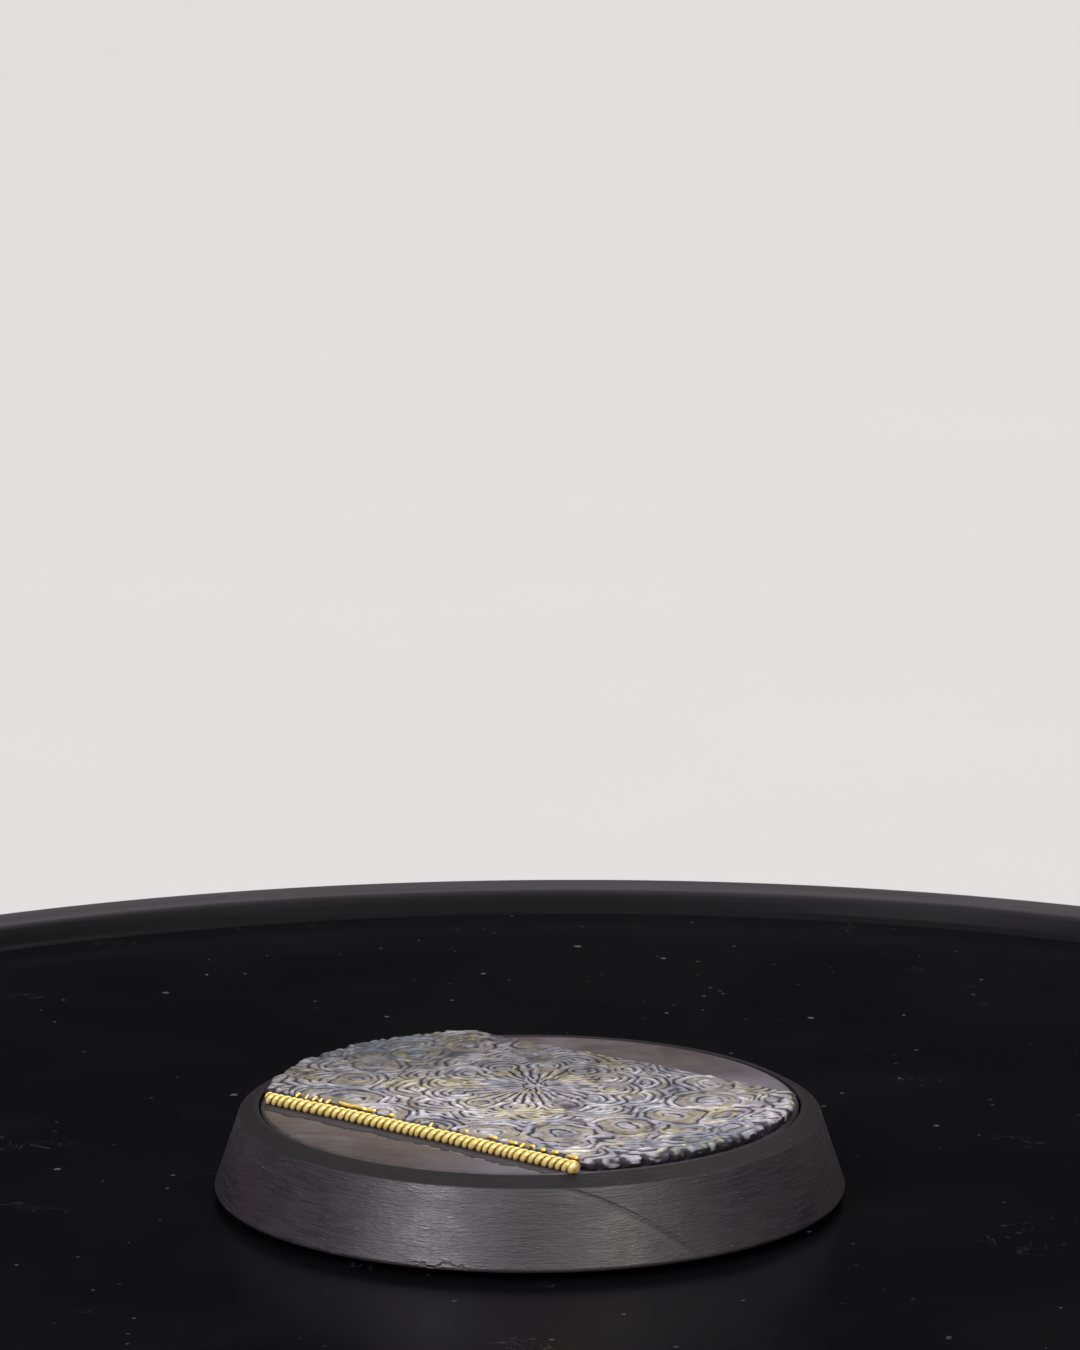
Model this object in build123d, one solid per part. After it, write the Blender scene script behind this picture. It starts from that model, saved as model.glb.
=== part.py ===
"""Motorised turntable display stand with a round display plinth standing on its platter.

Millimetres, +Z up. The origin is the platter's axis at the surface that the stand rests on, and +Y is
the rear, where the controls are. Every node is written to parts/NODE.step.
"""

import os
from math import acos, atan2, cos, degrees, pi, radians, sin, sqrt, tan

from build123d import *

# ---- Driving dimensions -----------------------------------------------------------------------------

RUNNING = 0.05  # radial clearance of a shaft or ball that turns
FITTED = 0.02  # radial clearance of a part that is pressed or screwed home
LOOSE = 0.15  # radial clearance of a screw or ball that only passes through
GAP = 0.3  # between faces that pass each other
CUT = 1.0  # how far a cutting tool runs past the face that it opens

FOOT_R = 8.0
FOOT_DISH_R = 5.6
FOOT_DISH_DEPTH = 0.6
FOOT_HEIGHT = 3.5
FOOT_CIRCLE_R = 95.0
FOOT_COUNT = 6
FOOT_START = 30.0  # degrees from +X to the first foot
STUD_R = 2.5

SHELL_BOTTOM_R = 114.0
SHELL_TOP_R = 112.0
SHELL_WALL = 2.5
SHELL_BOTTOM_Z = FOOT_HEIGHT
DECK_LOW_Z = 27.0
DECK_TOP_Z = 30.0
SHELL_EDGE_ROUND = 2.0
PLATE_TOP_Z = 6.5
CASE_SCREW_CIRCLE_R = 102.0
CASE_SCREW_COUNT = 6
CASE_SCREW_SEAT_Z = 5.3
BOSS_R = 4.0
SPINDLE_BOSS_R = 9.0
SPINDLE_BOSS_Z = 22.0
IDLER_BOSS_R = 6.0
IDLER_BOSS_Z = 23.0
RIM_WIDTH = 1.25  # the low ribs each side of the lower race
RIM_HEIGHT = 1.2

PLATTER_R = 127.0
LIP_TOP_Z = 47.2
LIP_DROP = 0.2  # the lip's top falls this much towards its inner edge
LIP_SLOPE = 1.0  # how far the lip's inner wall leans inwards
LIP_FOOT_R = 119.4
SKIRT_LOW_Z = 33.0
SKIRT_STRAIGHT_Z = 37.0
SKIRT_TAPER = 0.5
SKIRT_WALL = 2.4
WEB_TOP_Z = 42.5
WEB_THICKNESS = 3.0
COVER_R = 118.0
COVER_TOP_Z = 44.5
RIB_COUNT = 12
RIB_THICKNESS = 1.6
RIB_LOW_Z = 35.5
RIB_START = 15.0  # degrees from +X to the first rib

BEARING_R = 60.0
BALL_R = 3.0
BALL_COUNT = 24
BALL_Z = 34.0
RACE_HALF_WIDTH = 5.5
RACE_HEIGHT = 3.0

SPINDLE_R = 4.0
SPINDLE_TOP_Z = 40.6
SPINDLE_FLANGE_R = 8.0
SPINDLE_FLANGE = 1.0
SPINDLE_TAIL_R = 3.0
SPINDLE_TAIL_Z = 15.5
BUSH_WALL = 2.0
BUSH_FLANGE_R = 8.0
BUSH_FLANGE = 1.0
HUB_R = 11.0
HUB_POCKET_R = 12.0
RETAINING_WASHER_R = 9.0
RETAINING_WASHER = 0.8

MODULE = 1.25
RING_TEETH = 72
IDLER_TEETH = 20
PINION_TEETH = 12
ADDENDUM = 0.8 * MODULE  # stub teeth, because the pinion has only twelve
DEDENDUM = 1.05 * MODULE
PRESSURE_ANGLE = radians(20)
FLANK_THINNING = 0.06  # taken off each flank, which leaves the train its backlash
GEAR_LOW_Z = 31.6
GEAR_TOP_Z = 36.6
RING_GEAR_LOW_Z = 33.0
RING_GEAR_R = 53.5
RING_SCREW_CIRCLE_R = 50.2
RING_SCREW_COUNT = 6
RING_SCREW_SINK = 1.6
IDLER_AXLE_R = 2.0
PINION_CENTRE_R = 24.0
PINION_BEARING = 205.0  # degrees around the platter's axis from +X

MOTOR_R = 19.0
MOTOR_LOW_Z = 9.0
MOTOR_SHAFT_OFFSET = 9.0
MOTOR_OFFSET_BEARING = 240.0  # degrees, from the shaft towards the can's middle
MOTOR_SHAFT_R = 2.5
MOTOR_COLLAR_R = 4.8
MOTOR_PLATE = 1.0
MOTOR_SCREW_SINK = 1.0
MOTOR_EAR_HALF_SPAN = 23.5

PANEL_FRONT_Y = 106.5
PANEL_THICKNESS = 2.0
PANEL_HALF_WIDTH = 31.0
PANEL_LOW_Z = 8.2
PANEL_TOP_Z = 25.3
CONTROL_Z = 16.75
BOARD_FRONT_Y = 92.5
BOARD_THICKNESS = 1.6

CONTROLS_BACK_Y = 95.0
SHOULDER_LOW_Y = 101.5

JACK_X = 19.0
JACK_R = 4.0
JACK_SHOULDER_R = 5.6
JACK_SOCKET_R = 2.85
JACK_SOCKET_LOW_Y = 98.5

ROCKER_X = 6.0
ROCKER_R = 5.9
ROCKER_WIDTH = 6.8
ROCKER_TILT = 11.0  # either way from level
ROCKER_REACH = 2.9  # from the pivot to the paddle's outer corners
TRUNNION_R = 0.8
TRUNNION_SPAN = 8.2
BEZEL_THICKNESS = 1.5
SWITCH_BODY_WIDTH = 8.4
SWITCH_BODY_HEIGHT = 13.4

LED_X = -3.0
LED_R = 1.5

BUTTON_X = -9.5
BUTTON_R = 2.5
BUTTON_COLLAR_R = 3.3
PLUNGER_TIP_Y = 96.5

KNOB_X = -19.5
KNOB_R = 6.3
KNOB_LENGTH = 10.0
KNOB_FLUTES = 18
POT_BUSHING_R = 3.0
POT_SHAFT_R = 2.0
POT_SHAFT_LOW_Y = 97.3

LEAD_R = 0.75
LEAD_SPACING = 2.8

PLINTH_X = -5.1
PLINTH_BOTTOM_R = 29.5
PLINTH_SHOULDER_R = 27.1
PLINTH_SHOULDER = 7.1
PLINTH_HEIGHT = 7.85
PLINTH_TOP_R = 25.7
PAD_R = 24.0
PAD_THICKNESS = 0.8
INSERT_R = 25.0
INSERT_THICKNESS = 3.0

RUG_R = 24.8
RUG_THICKNESS = 1.2
ROPE_R = 0.52
ROPE_DISTANCE = 16.1  # from the insert's centre to the rope, square to the rope
RUG_BACK_DISTANCE = 15.2  # from the centre to the rug's other long edge
RUG_ANGLE = -38.7  # degrees from +X to the rope

# Screws: radius and height of the head, radius and length of the shank, radius of the socket.
CASE_SCREW = (2.8, 1.6, 1.45, 11.0, 1.1)
RETAINING_SCREW = (4.2, 1.0, 2.0, 8.0, 1.3)
RING_SCREW = (2.2, 1.3, 1.2, 6.0, 0.9)
MOTOR_SCREW = (2.8, 0.9, 1.4, 6.0, 1.0)
PANEL_SCREW = (2.0, 1.2, 1.05, 7.0, 0.8)
BOARD_SCREW = (2.0, 1.2, 1.05, 5.0, 0.8)
PANEL_SCREW_HOLE_R = 1.2

# ---- Worked-out places ------------------------------------------------------------------------------

PANEL_BACK_Y = PANEL_FRONT_Y - PANEL_THICKNESS
BOARD_BACK_Y = BOARD_FRONT_Y - BOARD_THICKNESS
CONNECTOR_BACK_Y = BOARD_BACK_Y - 6.0
BEZEL_FRONT_Y = PANEL_FRONT_Y + BEZEL_THICKNESS
ROCKER_PIVOT_Y = PANEL_FRONT_Y - 0.5
KNOB_LOW_Y = PANEL_FRONT_Y + 2.6
WEB_LOW_Z = WEB_TOP_Z - WEB_THICKNESS
BUSH_R = SPINDLE_R + RUNNING + BUSH_WALL
HUB_LOW_Z = DECK_TOP_Z + SPINDLE_FLANGE + GAP
BUSH_FLANGE_LOW_Z = SPINDLE_TOP_Z - BUSH_FLANGE - 0.1
MOTOR_TOP_Z = DECK_LOW_Z - MOTOR_PLATE
UPPER_RACE_LOW_Z = 2 * BALL_Z - DECK_TOP_Z - RACE_HEIGHT
SEAT_Z = UPPER_RACE_LOW_Z + RACE_HEIGHT
PLINTH_LOW_Z = COVER_TOP_Z + PAD_THICKNESS
PLINTH_TOP_Z = PLINTH_LOW_Z + PLINTH_HEIGHT
INSERT_LOW_Z = PLINTH_TOP_Z - INSERT_THICKNESS

RING_PITCH_R = MODULE * RING_TEETH / 2
IDLER_PITCH_R = MODULE * IDLER_TEETH / 2
PINION_PITCH_R = MODULE * PINION_TEETH / 2
IDLER_CENTRE_R = RING_PITCH_R - IDLER_PITCH_R
IDLER_TO_PINION = IDLER_PITCH_R + PINION_PITCH_R


def polar(radius, angle):
    """A point at an angle in degrees around the platter's axis."""
    return (radius * cos(radians(angle)), radius * sin(radians(angle)))


# The triangle of platter axis, idler and pinion sets the angle between the last two.
TRAIN_ANGLE = degrees(
    acos(
        (IDLER_CENTRE_R**2 + PINION_CENTRE_R**2 - IDLER_TO_PINION**2)
        / (2 * IDLER_CENTRE_R * PINION_CENTRE_R)
    )
)
IDLER_BEARING = PINION_BEARING - TRAIN_ANGLE
IDLER_CENTRE = polar(IDLER_CENTRE_R, IDLER_BEARING)
PINION_CENTRE = polar(PINION_CENTRE_R, PINION_BEARING)
MOTOR_OFFSET = polar(MOTOR_SHAFT_OFFSET, MOTOR_OFFSET_BEARING)
MOTOR_CENTRE = (PINION_CENTRE[0] + MOTOR_OFFSET[0], PINION_CENTRE[1] + MOTOR_OFFSET[1])

# ---- Shape helpers ----------------------------------------------------------------------------------

UPRIGHT = (Align.CENTER, Align.CENTER, Align.MIN)


def disc(radius, low, high, at=(0, 0)):
    """An upright cylinder between two heights."""
    return Pos(at[0], at[1], low) * Cylinder(radius, high - low, align=UPRIGHT)


def ring(outer, inner, low, high, at=(0, 0)):
    """An upright tube between two heights."""
    return disc(outer, low, high, at) - disc(inner, low, high, at)


def peg(radius, y_low, y_high, x, z=CONTROL_Z):
    """A cylinder along Y, as the panel's parts have."""
    return Pos(x, y_low, z) * Rot(-90, 0, 0) * Cylinder(radius, y_high - y_low, align=UPRIGHT)


def block(x, y, z):
    """A box from a low and a high value along each axis."""
    size = Box(x[1] - x[0], y[1] - y[0], z[1] - z[0], align=(Align.MIN, Align.MIN, Align.MIN))
    return Pos(x[0], y[0], z[0]) * size


def centred_block(x, width, y, height):
    """A box along Y that is centred on a control's place on the panel."""
    across, up = width / 2, height / 2
    return block((x - across, x + across), y, (CONTROL_Z - up, CONTROL_Z + up))


def turned(points, rounds):
    """A closed (radius, height) outline turned about Z, with a rounding for each corner."""
    line = FilletPolyline(*[(r, 0, z) for r, z in points], radius=rounds, close=True)
    return revolve(make_face(line), Axis.Z)


def hexagon(across_flats, low, high, at=(0, 0)):
    """An upright hexagonal prism, as a nut has."""
    outline = RegularPolygon(across_flats / 2, 6, major_radius=False)
    return Pos(at[0], at[1], low) * extrude(outline, high - low)


def hexagon_along_y(across_flats, y_low, y_high, x):
    """A hexagonal prism along Y, as a panel nut has."""
    outline = RegularPolygon(across_flats / 2, 6, major_radius=False)
    return Pos(x, y_low, CONTROL_Z) * Rot(-90, 0, 0) * extrude(outline, y_high - y_low)


def around(shape, count, start=0.0):
    """Copies of a shape spread evenly about the Z axis."""
    return [Rot(0, 0, start + 360 / count * index) * shape for index in range(count)]


def group(shapes):
    """Separate solids kept in one node."""
    return Compound(children=[solid for shape in shapes for solid in shape.solids()])


def screw(size):
    """A pan-head screw with its head standing on the XY plane, and a hexagonal socket in the head."""
    head_r, head_height, shank_r, length, socket_r = size
    head = chamfer(disc(head_r, 0, head_height).edges().sort_by(Axis.Z)[-1], head_height / 4)
    socket = hexagon(2 * socket_r, head_height * 0.4, head_height)
    return disc(shank_r, -length, 0) + head - socket


def head_down(shape, z):
    """A screw turned over, with the underside of its head facing up at a height."""
    return Pos(0, 0, z) * Rot(180, 0, 0) * shape


# ---- Gear teeth -------------------------------------------------------------------------------------


def involute(angle):
    return tan(angle) - angle


def gear_outline(teeth, tip_r, root_r, thinning, phase):
    """A spur gear's outline, with the middle of one tooth at the phase angle in radians."""
    pitch_r = MODULE * teeth / 2
    base_r = pitch_r * cos(PRESSURE_ANGLE)
    half_tooth = pi / (2 * teeth) - thinning / pitch_r
    flank_from_r = max(base_r, root_r)
    flank_steps = 4
    flank = [flank_from_r + (tip_r - flank_from_r) * step / flank_steps for step in range(flank_steps + 1)]

    def half_angle(radius):
        return half_tooth + involute(PRESSURE_ANGLE) - involute(acos(min(1.0, base_r / radius)))

    half_angles = [half_angle(radius) for radius in flank]
    if root_r < base_r:
        flank.insert(0, root_r)
        half_angles.insert(0, half_angles[0])
    points = []
    for tooth in range(teeth):
        middle = phase + 2 * pi * tooth / teeth
        rising = [(radius, middle - half) for radius, half in zip(flank, half_angles)]
        falling = [(radius, middle + half) for radius, half in zip(flank[::-1], half_angles[::-1])]
        points += [(radius * cos(angle), radius * sin(angle)) for radius, angle in rising + falling]
    return Polyline(*points, close=True)


def gear_solid(outline, low, high, at=(0, 0)):
    """A toothed prism between two heights."""
    return Pos(at[0], at[1], low) * extrude(make_face(outline), high - low)


# ---- Base -------------------------------------------------------------------------------------------


def foot():
    """A rubber puck with a dished underside and a stud that plugs into the base plate."""
    outline = [
        (0, FOOT_DISH_DEPTH),
        (FOOT_DISH_R - FOOT_DISH_DEPTH, FOOT_DISH_DEPTH),
        (FOOT_DISH_R, 0),
        (FOOT_R, 0),
        (FOOT_R - 0.6, FOOT_HEIGHT),
        (STUD_R, FOOT_HEIGHT),
        (STUD_R, PLATE_TOP_Z - GAP),
        (0, PLATE_TOP_Z - GAP),
    ]
    puck = turned(outline, [0, 0, 0, 0.5, 0, 0, 0.4, 0])
    return Pos(FOOT_CIRCLE_R, 0, 0) * puck


def shell_outer():
    """The base's outer form, down to the bottom edge."""
    outline = [
        (0, SHELL_BOTTOM_Z),
        (SHELL_BOTTOM_R, SHELL_BOTTOM_Z),
        (SHELL_TOP_R, DECK_TOP_Z),
        (0, DECK_TOP_Z),
    ]
    return turned(outline, [0, 0.8, SHELL_EDGE_ROUND, 0])


def shell_inner():
    """The room inside the base's wall and under its deck."""
    outline = [
        (0, SHELL_BOTTOM_Z - CUT),
        (SHELL_BOTTOM_R - SHELL_WALL, SHELL_BOTTOM_Z - CUT),
        (SHELL_TOP_R - SHELL_WALL, DECK_LOW_Z),
        (0, DECK_LOW_Z),
    ]
    return turned(outline, [0, 0, 1.0, 0])


TUNNEL_HALF_WIDTH = 32.9
WINDOW_HALF_WIDTH = 31.2
WINDOW_Z = (8.0, 25.5)
LEDGE_X = (25.6, 32.0)
LEDGE_Z = (12.5, 21.0)
LEDGE_SCREW_X = 28.3
LEDGE_HOLE_R = 1.15


def bay_frame(outer):
    """The solid block around the rear window, inside the base's outer form."""
    width = (-TUNNEL_HALF_WIDTH, TUNNEL_HALF_WIDTH)
    return block(width, (BOARD_FRONT_Y, SHELL_BOTTOM_R), (PLATE_TOP_Z + 0.2, DECK_LOW_Z)) & outer


def bay_window():
    """The opening that the control panel closes."""
    return block((-WINDOW_HALF_WIDTH, WINDOW_HALF_WIDTH), (BOARD_BACK_Y, SHELL_BOTTOM_R + CUT), WINDOW_Z)


def bay_ledge(side):
    """A bored ledge at one end of the window, which the panel and the circuit board screw to."""
    width = sorted((side * LEDGE_X[0], side * LEDGE_X[1]))
    ledge = block(width, (BOARD_FRONT_Y, PANEL_BACK_Y), LEDGE_Z)
    return ledge - peg(LEDGE_HOLE_R, BOARD_FRONT_Y, PANEL_BACK_Y, side * LEDGE_SCREW_X)


def base_shell():
    """The round housing: wall, deck, bosses, seats for the bearing and the gear train's holes."""
    outer = shell_outer()
    shell = outer - shell_inner()
    boss = disc(BOSS_R, PLATE_TOP_Z, DECK_LOW_Z, (CASE_SCREW_CIRCLE_R, 0))
    for piece in around(boss, CASE_SCREW_COUNT):
        shell += piece
    shell += disc(SPINDLE_BOSS_R, SPINDLE_BOSS_Z, DECK_LOW_Z)
    shell += disc(IDLER_BOSS_R, IDLER_BOSS_Z, DECK_LOW_Z, IDLER_CENTRE)
    shell += bay_frame(outer)
    shell -= bay_window()
    for side in (-1, 1):
        shell += bay_ledge(side)
    race_inner_r = BEARING_R - RACE_HALF_WIDTH - LOOSE
    race_outer_r = BEARING_R + RACE_HALF_WIDTH + LOOSE
    shell += ring(race_inner_r, race_inner_r - RIM_WIDTH, DECK_TOP_Z, DECK_TOP_Z + RIM_HEIGHT)
    shell += ring(race_outer_r + RIM_WIDTH, race_outer_r, DECK_TOP_Z, DECK_TOP_Z + RIM_HEIGHT)
    boss_hole = disc(CASE_SCREW[2] + RUNNING, PLATE_TOP_Z, 18.0, (CASE_SCREW_CIRCLE_R, 0))
    for hole in around(boss_hole, CASE_SCREW_COUNT):
        shell -= hole
    above_deck = DECK_TOP_Z + CUT
    shell -= disc(SPINDLE_TAIL_R + RUNNING, SPINDLE_BOSS_Z - CUT, above_deck)
    shell -= disc(IDLER_AXLE_R + FITTED, IDLER_BOSS_Z - CUT, above_deck, IDLER_CENTRE)
    shell -= disc(MOTOR_COLLAR_R + 0.4, DECK_LOW_Z - CUT, above_deck, PINION_CENTRE)
    for ear in motor_ears():
        shell -= disc(MOTOR_SCREW[2] + GAP, DECK_LOW_Z - CUT, above_deck, ear)
        shell -= disc(MOTOR_SCREW[0] + GAP, DECK_TOP_Z - MOTOR_SCREW_SINK, above_deck, ear)
    return shell


def base_plate():
    """The bottom plate, with holes for the feet, counterbored screw holes and cooling slots."""
    plate = disc(SHELL_BOTTOM_R - SHELL_WALL - 2 * GAP, SHELL_BOTTOM_Z, PLATE_TOP_Z)
    above = PLATE_TOP_Z + CUT
    stud_hole = disc(STUD_R + RUNNING, 0, above, (FOOT_CIRCLE_R, 0))
    for hole in around(stud_hole, FOOT_COUNT, FOOT_START):
        plate -= hole
    at_screw = (CASE_SCREW_CIRCLE_R, 0)
    screw_hole = disc(CASE_SCREW[2] + 0.25, 0, above, at_screw)
    screw_hole += disc(CASE_SCREW[0] + 0.4, 0, CASE_SCREW_SEAT_Z, at_screw)
    for hole in around(screw_hole, CASE_SCREW_COUNT):
        plate -= hole
    slot_count, slot_length, slot_width, slot_pitch = 5, 16.0, 2.4, 5.0
    slot = extrude(SlotOverall(slot_length, slot_width), above)
    for row in range(slot_count):
        y = MOTOR_CENTRE[1] + slot_pitch * (row - (slot_count - 1) / 2)
        plate -= Pos(MOTOR_CENTRE[0], y, 0) * slot
    return plate


def case_screws():
    placed = Pos(CASE_SCREW_CIRCLE_R, 0, 0) * head_down(screw(CASE_SCREW), CASE_SCREW_SEAT_Z)
    return group(around(placed, CASE_SCREW_COUNT))


# ---- Main bearing and spindle -----------------------------------------------------------------------


def race(low):
    """A flat ring with a ball groove turned into the side that faces the balls."""
    body = ring(BEARING_R + RACE_HALF_WIDTH, BEARING_R - RACE_HALF_WIDTH, low, low + RACE_HEIGHT)
    groove = Pos(0, 0, BALL_Z) * Torus(BEARING_R, BALL_R + RUNNING)
    return body - groove


def ball_cage():
    """A thin ring that keeps the balls evenly spaced."""
    half_width, half_height = 5.0, 0.7
    cage = ring(BEARING_R + half_width, BEARING_R - half_width, BALL_Z - half_height, BALL_Z + half_height)
    ball_hole = disc(BALL_R + LOOSE, BALL_Z - CUT, BALL_Z + CUT, (BEARING_R, 0))
    for hole in around(ball_hole, BALL_COUNT):
        cage -= hole
    return cage


def bearing_balls():
    return group(around(Pos(BEARING_R, 0, BALL_Z) * Sphere(BALL_R), BALL_COUNT))


def centre_spindle():
    """The fixed axle: flange on the deck, journal for the bush, threaded tail below."""
    spindle = disc(SPINDLE_FLANGE_R, DECK_TOP_Z, DECK_TOP_Z + SPINDLE_FLANGE)
    spindle += disc(SPINDLE_R, DECK_TOP_Z, SPINDLE_TOP_Z)
    spindle += disc(SPINDLE_TAIL_R, SPINDLE_TAIL_Z, DECK_TOP_Z)
    screw_hole_depth = RETAINING_SCREW[3] + CUT
    return spindle - disc(RETAINING_SCREW[2] + RUNNING, SPINDLE_TOP_Z - screw_hole_depth, SPINDLE_TOP_Z)


WASHER_LOW_Z = SPINDLE_BOSS_Z - 1.0
NUT_LOW_Z = WASHER_LOW_Z - 5.0


def spindle_nut():
    """The nut that holds the spindle down in the deck's boss."""
    across_flats = 10.0
    nut = hexagon(across_flats, NUT_LOW_Z, WASHER_LOW_Z)
    return nut - disc(SPINDLE_TAIL_R + FITTED, NUT_LOW_Z, WASHER_LOW_Z)


def spindle_washer():
    return ring(6.5, SPINDLE_TAIL_R + LOOSE, WASHER_LOW_Z, SPINDLE_BOSS_Z)


def retaining_screw():
    """The low-head screw that keeps the platter down on the spindle."""
    return Pos(0, 0, SPINDLE_TOP_Z + RETAINING_WASHER) * screw(RETAINING_SCREW)


def retaining_washer():
    """The washer under the retaining screw, just clear of the bush that turns below it."""
    hole_r = RETAINING_SCREW[2] + LOOSE
    return ring(RETAINING_WASHER_R, hole_r, SPINDLE_TOP_Z, SPINDLE_TOP_Z + RETAINING_WASHER)


def hub_bush():
    """The flanged bronze bush that the platter turns on."""
    bush = disc(BUSH_R, HUB_LOW_Z, BUSH_FLANGE_LOW_Z)
    bush += disc(BUSH_FLANGE_R, BUSH_FLANGE_LOW_Z, BUSH_FLANGE_LOW_Z + BUSH_FLANGE)
    return bush - disc(SPINDLE_R + RUNNING, HUB_LOW_Z, SPINDLE_TOP_Z)


# ---- Gear train and motor ---------------------------------------------------------------------------

RING_SCREW_START = 180 / RING_TEETH  # degrees from +X to the first screw
IDLER_PHASE = radians(IDLER_BEARING)
IDLER_TO_PINION_ANGLE = atan2(PINION_CENTRE[1] - IDLER_CENTRE[1], PINION_CENTRE[0] - IDLER_CENTRE[0])


def pinion_phase():
    """The pinion's tooth angle that puts a gap where the idler's nearest tooth comes in."""
    tooth_pitch = 2 * pi / IDLER_TEETH
    offset = (IDLER_PHASE - IDLER_TO_PINION_ANGLE + tooth_pitch / 2) % tooth_pitch - tooth_pitch / 2
    gap = IDLER_TO_PINION_ANGLE + pi - offset * IDLER_TEETH / PINION_TEETH
    return gap + pi / PINION_TEETH


def ring_gear():
    """The internally toothed ring under the platter, with six counterbored screw holes."""
    outline = gear_outline(
        RING_TEETH,
        tip_r=RING_PITCH_R + DEDENDUM,
        root_r=RING_PITCH_R - ADDENDUM,
        thinning=-FLANK_THINNING,
        phase=IDLER_PHASE,
    )
    blank = disc(RING_GEAR_R, RING_GEAR_LOW_Z, SEAT_Z)
    gear = blank - gear_solid(outline, RING_GEAR_LOW_Z - CUT, SEAT_Z + CUT)
    at_screw = (RING_SCREW_CIRCLE_R, 0)
    screw_hole = disc(RING_SCREW[2] + 0.1, RING_GEAR_LOW_Z, SEAT_Z, at_screw)
    screw_hole += disc(RING_SCREW[0] + 0.2, RING_GEAR_LOW_Z, RING_GEAR_LOW_Z + RING_SCREW_SINK, at_screw)
    for hole in around(screw_hole, RING_SCREW_COUNT, RING_SCREW_START):
        gear -= hole
    return gear


def ring_gear_screws():
    fastener = head_down(screw(RING_SCREW), RING_GEAR_LOW_Z + RING_SCREW_SINK)
    placed = Pos(RING_SCREW_CIRCLE_R, 0, 0) * fastener
    return group(around(placed, RING_SCREW_COUNT, RING_SCREW_START))


def idler_gear():
    """The nylon wheel between pinion and ring, with a lightened web."""
    tip_r = IDLER_PITCH_R + ADDENDUM
    outline = gear_outline(IDLER_TEETH, tip_r, IDLER_PITCH_R - DEDENDUM, FLANK_THINNING, IDLER_PHASE)
    gear = gear_solid(outline, GEAR_LOW_Z, GEAR_TOP_Z, IDLER_CENTRE)
    web_outer_r, web_inner_r, web_depth, collar_r = 9.2, 4.2, 1.5, 4.0
    gear -= ring(web_outer_r, web_inner_r, GEAR_TOP_Z - web_depth, GEAR_TOP_Z + CUT, IDLER_CENTRE)
    gear += disc(collar_r, DECK_TOP_Z + GAP, GEAR_LOW_Z, IDLER_CENTRE)
    return gear - disc(IDLER_AXLE_R + RUNNING, DECK_TOP_Z, GEAR_TOP_Z + CUT, IDLER_CENTRE)


CLIP_LOW_Z = GEAR_TOP_Z + 0.22
CLIP_THICKNESS = 0.5
CLIP_GROOVE_R = 1.55


def idler_axle():
    """A steel pin pressed into the deck, with a groove for its clip."""
    pin = disc(IDLER_AXLE_R, IDLER_BOSS_Z - 2.5, SEAT_Z - 0.2, IDLER_CENTRE)
    groove_low, groove_top = CLIP_LOW_Z - FITTED, CLIP_LOW_Z + CLIP_THICKNESS + FITTED
    return pin - ring(IDLER_AXLE_R + CUT, CLIP_GROOVE_R, groove_low, groove_top, IDLER_CENTRE)


def idler_clip():
    """An E-clip that holds the idler down."""
    clip_r, mouth_width = 3.8, 2.2
    clip = ring(clip_r, CLIP_GROOVE_R + FITTED, CLIP_LOW_Z, CLIP_LOW_Z + CLIP_THICKNESS, IDLER_CENTRE)
    x, y = IDLER_CENTRE
    mouth = block((x, x + clip_r + CUT), (y - mouth_width / 2, y + mouth_width / 2), (GEAR_TOP_Z, SEAT_Z))
    return clip - mouth


def drive_pinion():
    """The small gear on the motor's shaft."""
    outline = gear_outline(
        PINION_TEETH,
        PINION_PITCH_R + ADDENDUM,
        PINION_PITCH_R - DEDENDUM,
        FLANK_THINNING,
        pinion_phase(),
    )
    gear = gear_solid(outline, GEAR_LOW_Z, GEAR_TOP_Z, PINION_CENTRE)
    return gear - motor_shaft()


def motor_shaft():
    """The gearmotor's output shaft, with the flat that drives the pinion."""
    flat_depth = 0.5
    shaft = disc(MOTOR_SHAFT_R, MOTOR_TOP_Z, GEAR_TOP_Z, PINION_CENTRE)
    x, y = PINION_CENTRE
    flat_x = (x + MOTOR_SHAFT_R - flat_depth, x + MOTOR_SHAFT_R + CUT)
    return shaft - block(flat_x, (y - MOTOR_SHAFT_R, y + MOTOR_SHAFT_R), (GEAR_LOW_Z, GEAR_TOP_Z + CUT))


def motor_ears():
    """The two screw places beside the motor, square to its shaft's offset."""
    reach = polar(MOTOR_EAR_HALF_SPAN, MOTOR_OFFSET_BEARING + 90)
    return [(MOTOR_CENTRE[0] + side * reach[0], MOTOR_CENTRE[1] + side * reach[1]) for side in (-1, 1)]


def motor_can():
    """The flat gearmotor's steel can."""
    can = disc(MOTOR_R, MOTOR_LOW_Z, MOTOR_TOP_Z, MOTOR_CENTRE)
    edge_round = 1.2
    return fillet(can.edges().sort_by(Axis.Z)[0], edge_round)


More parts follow.
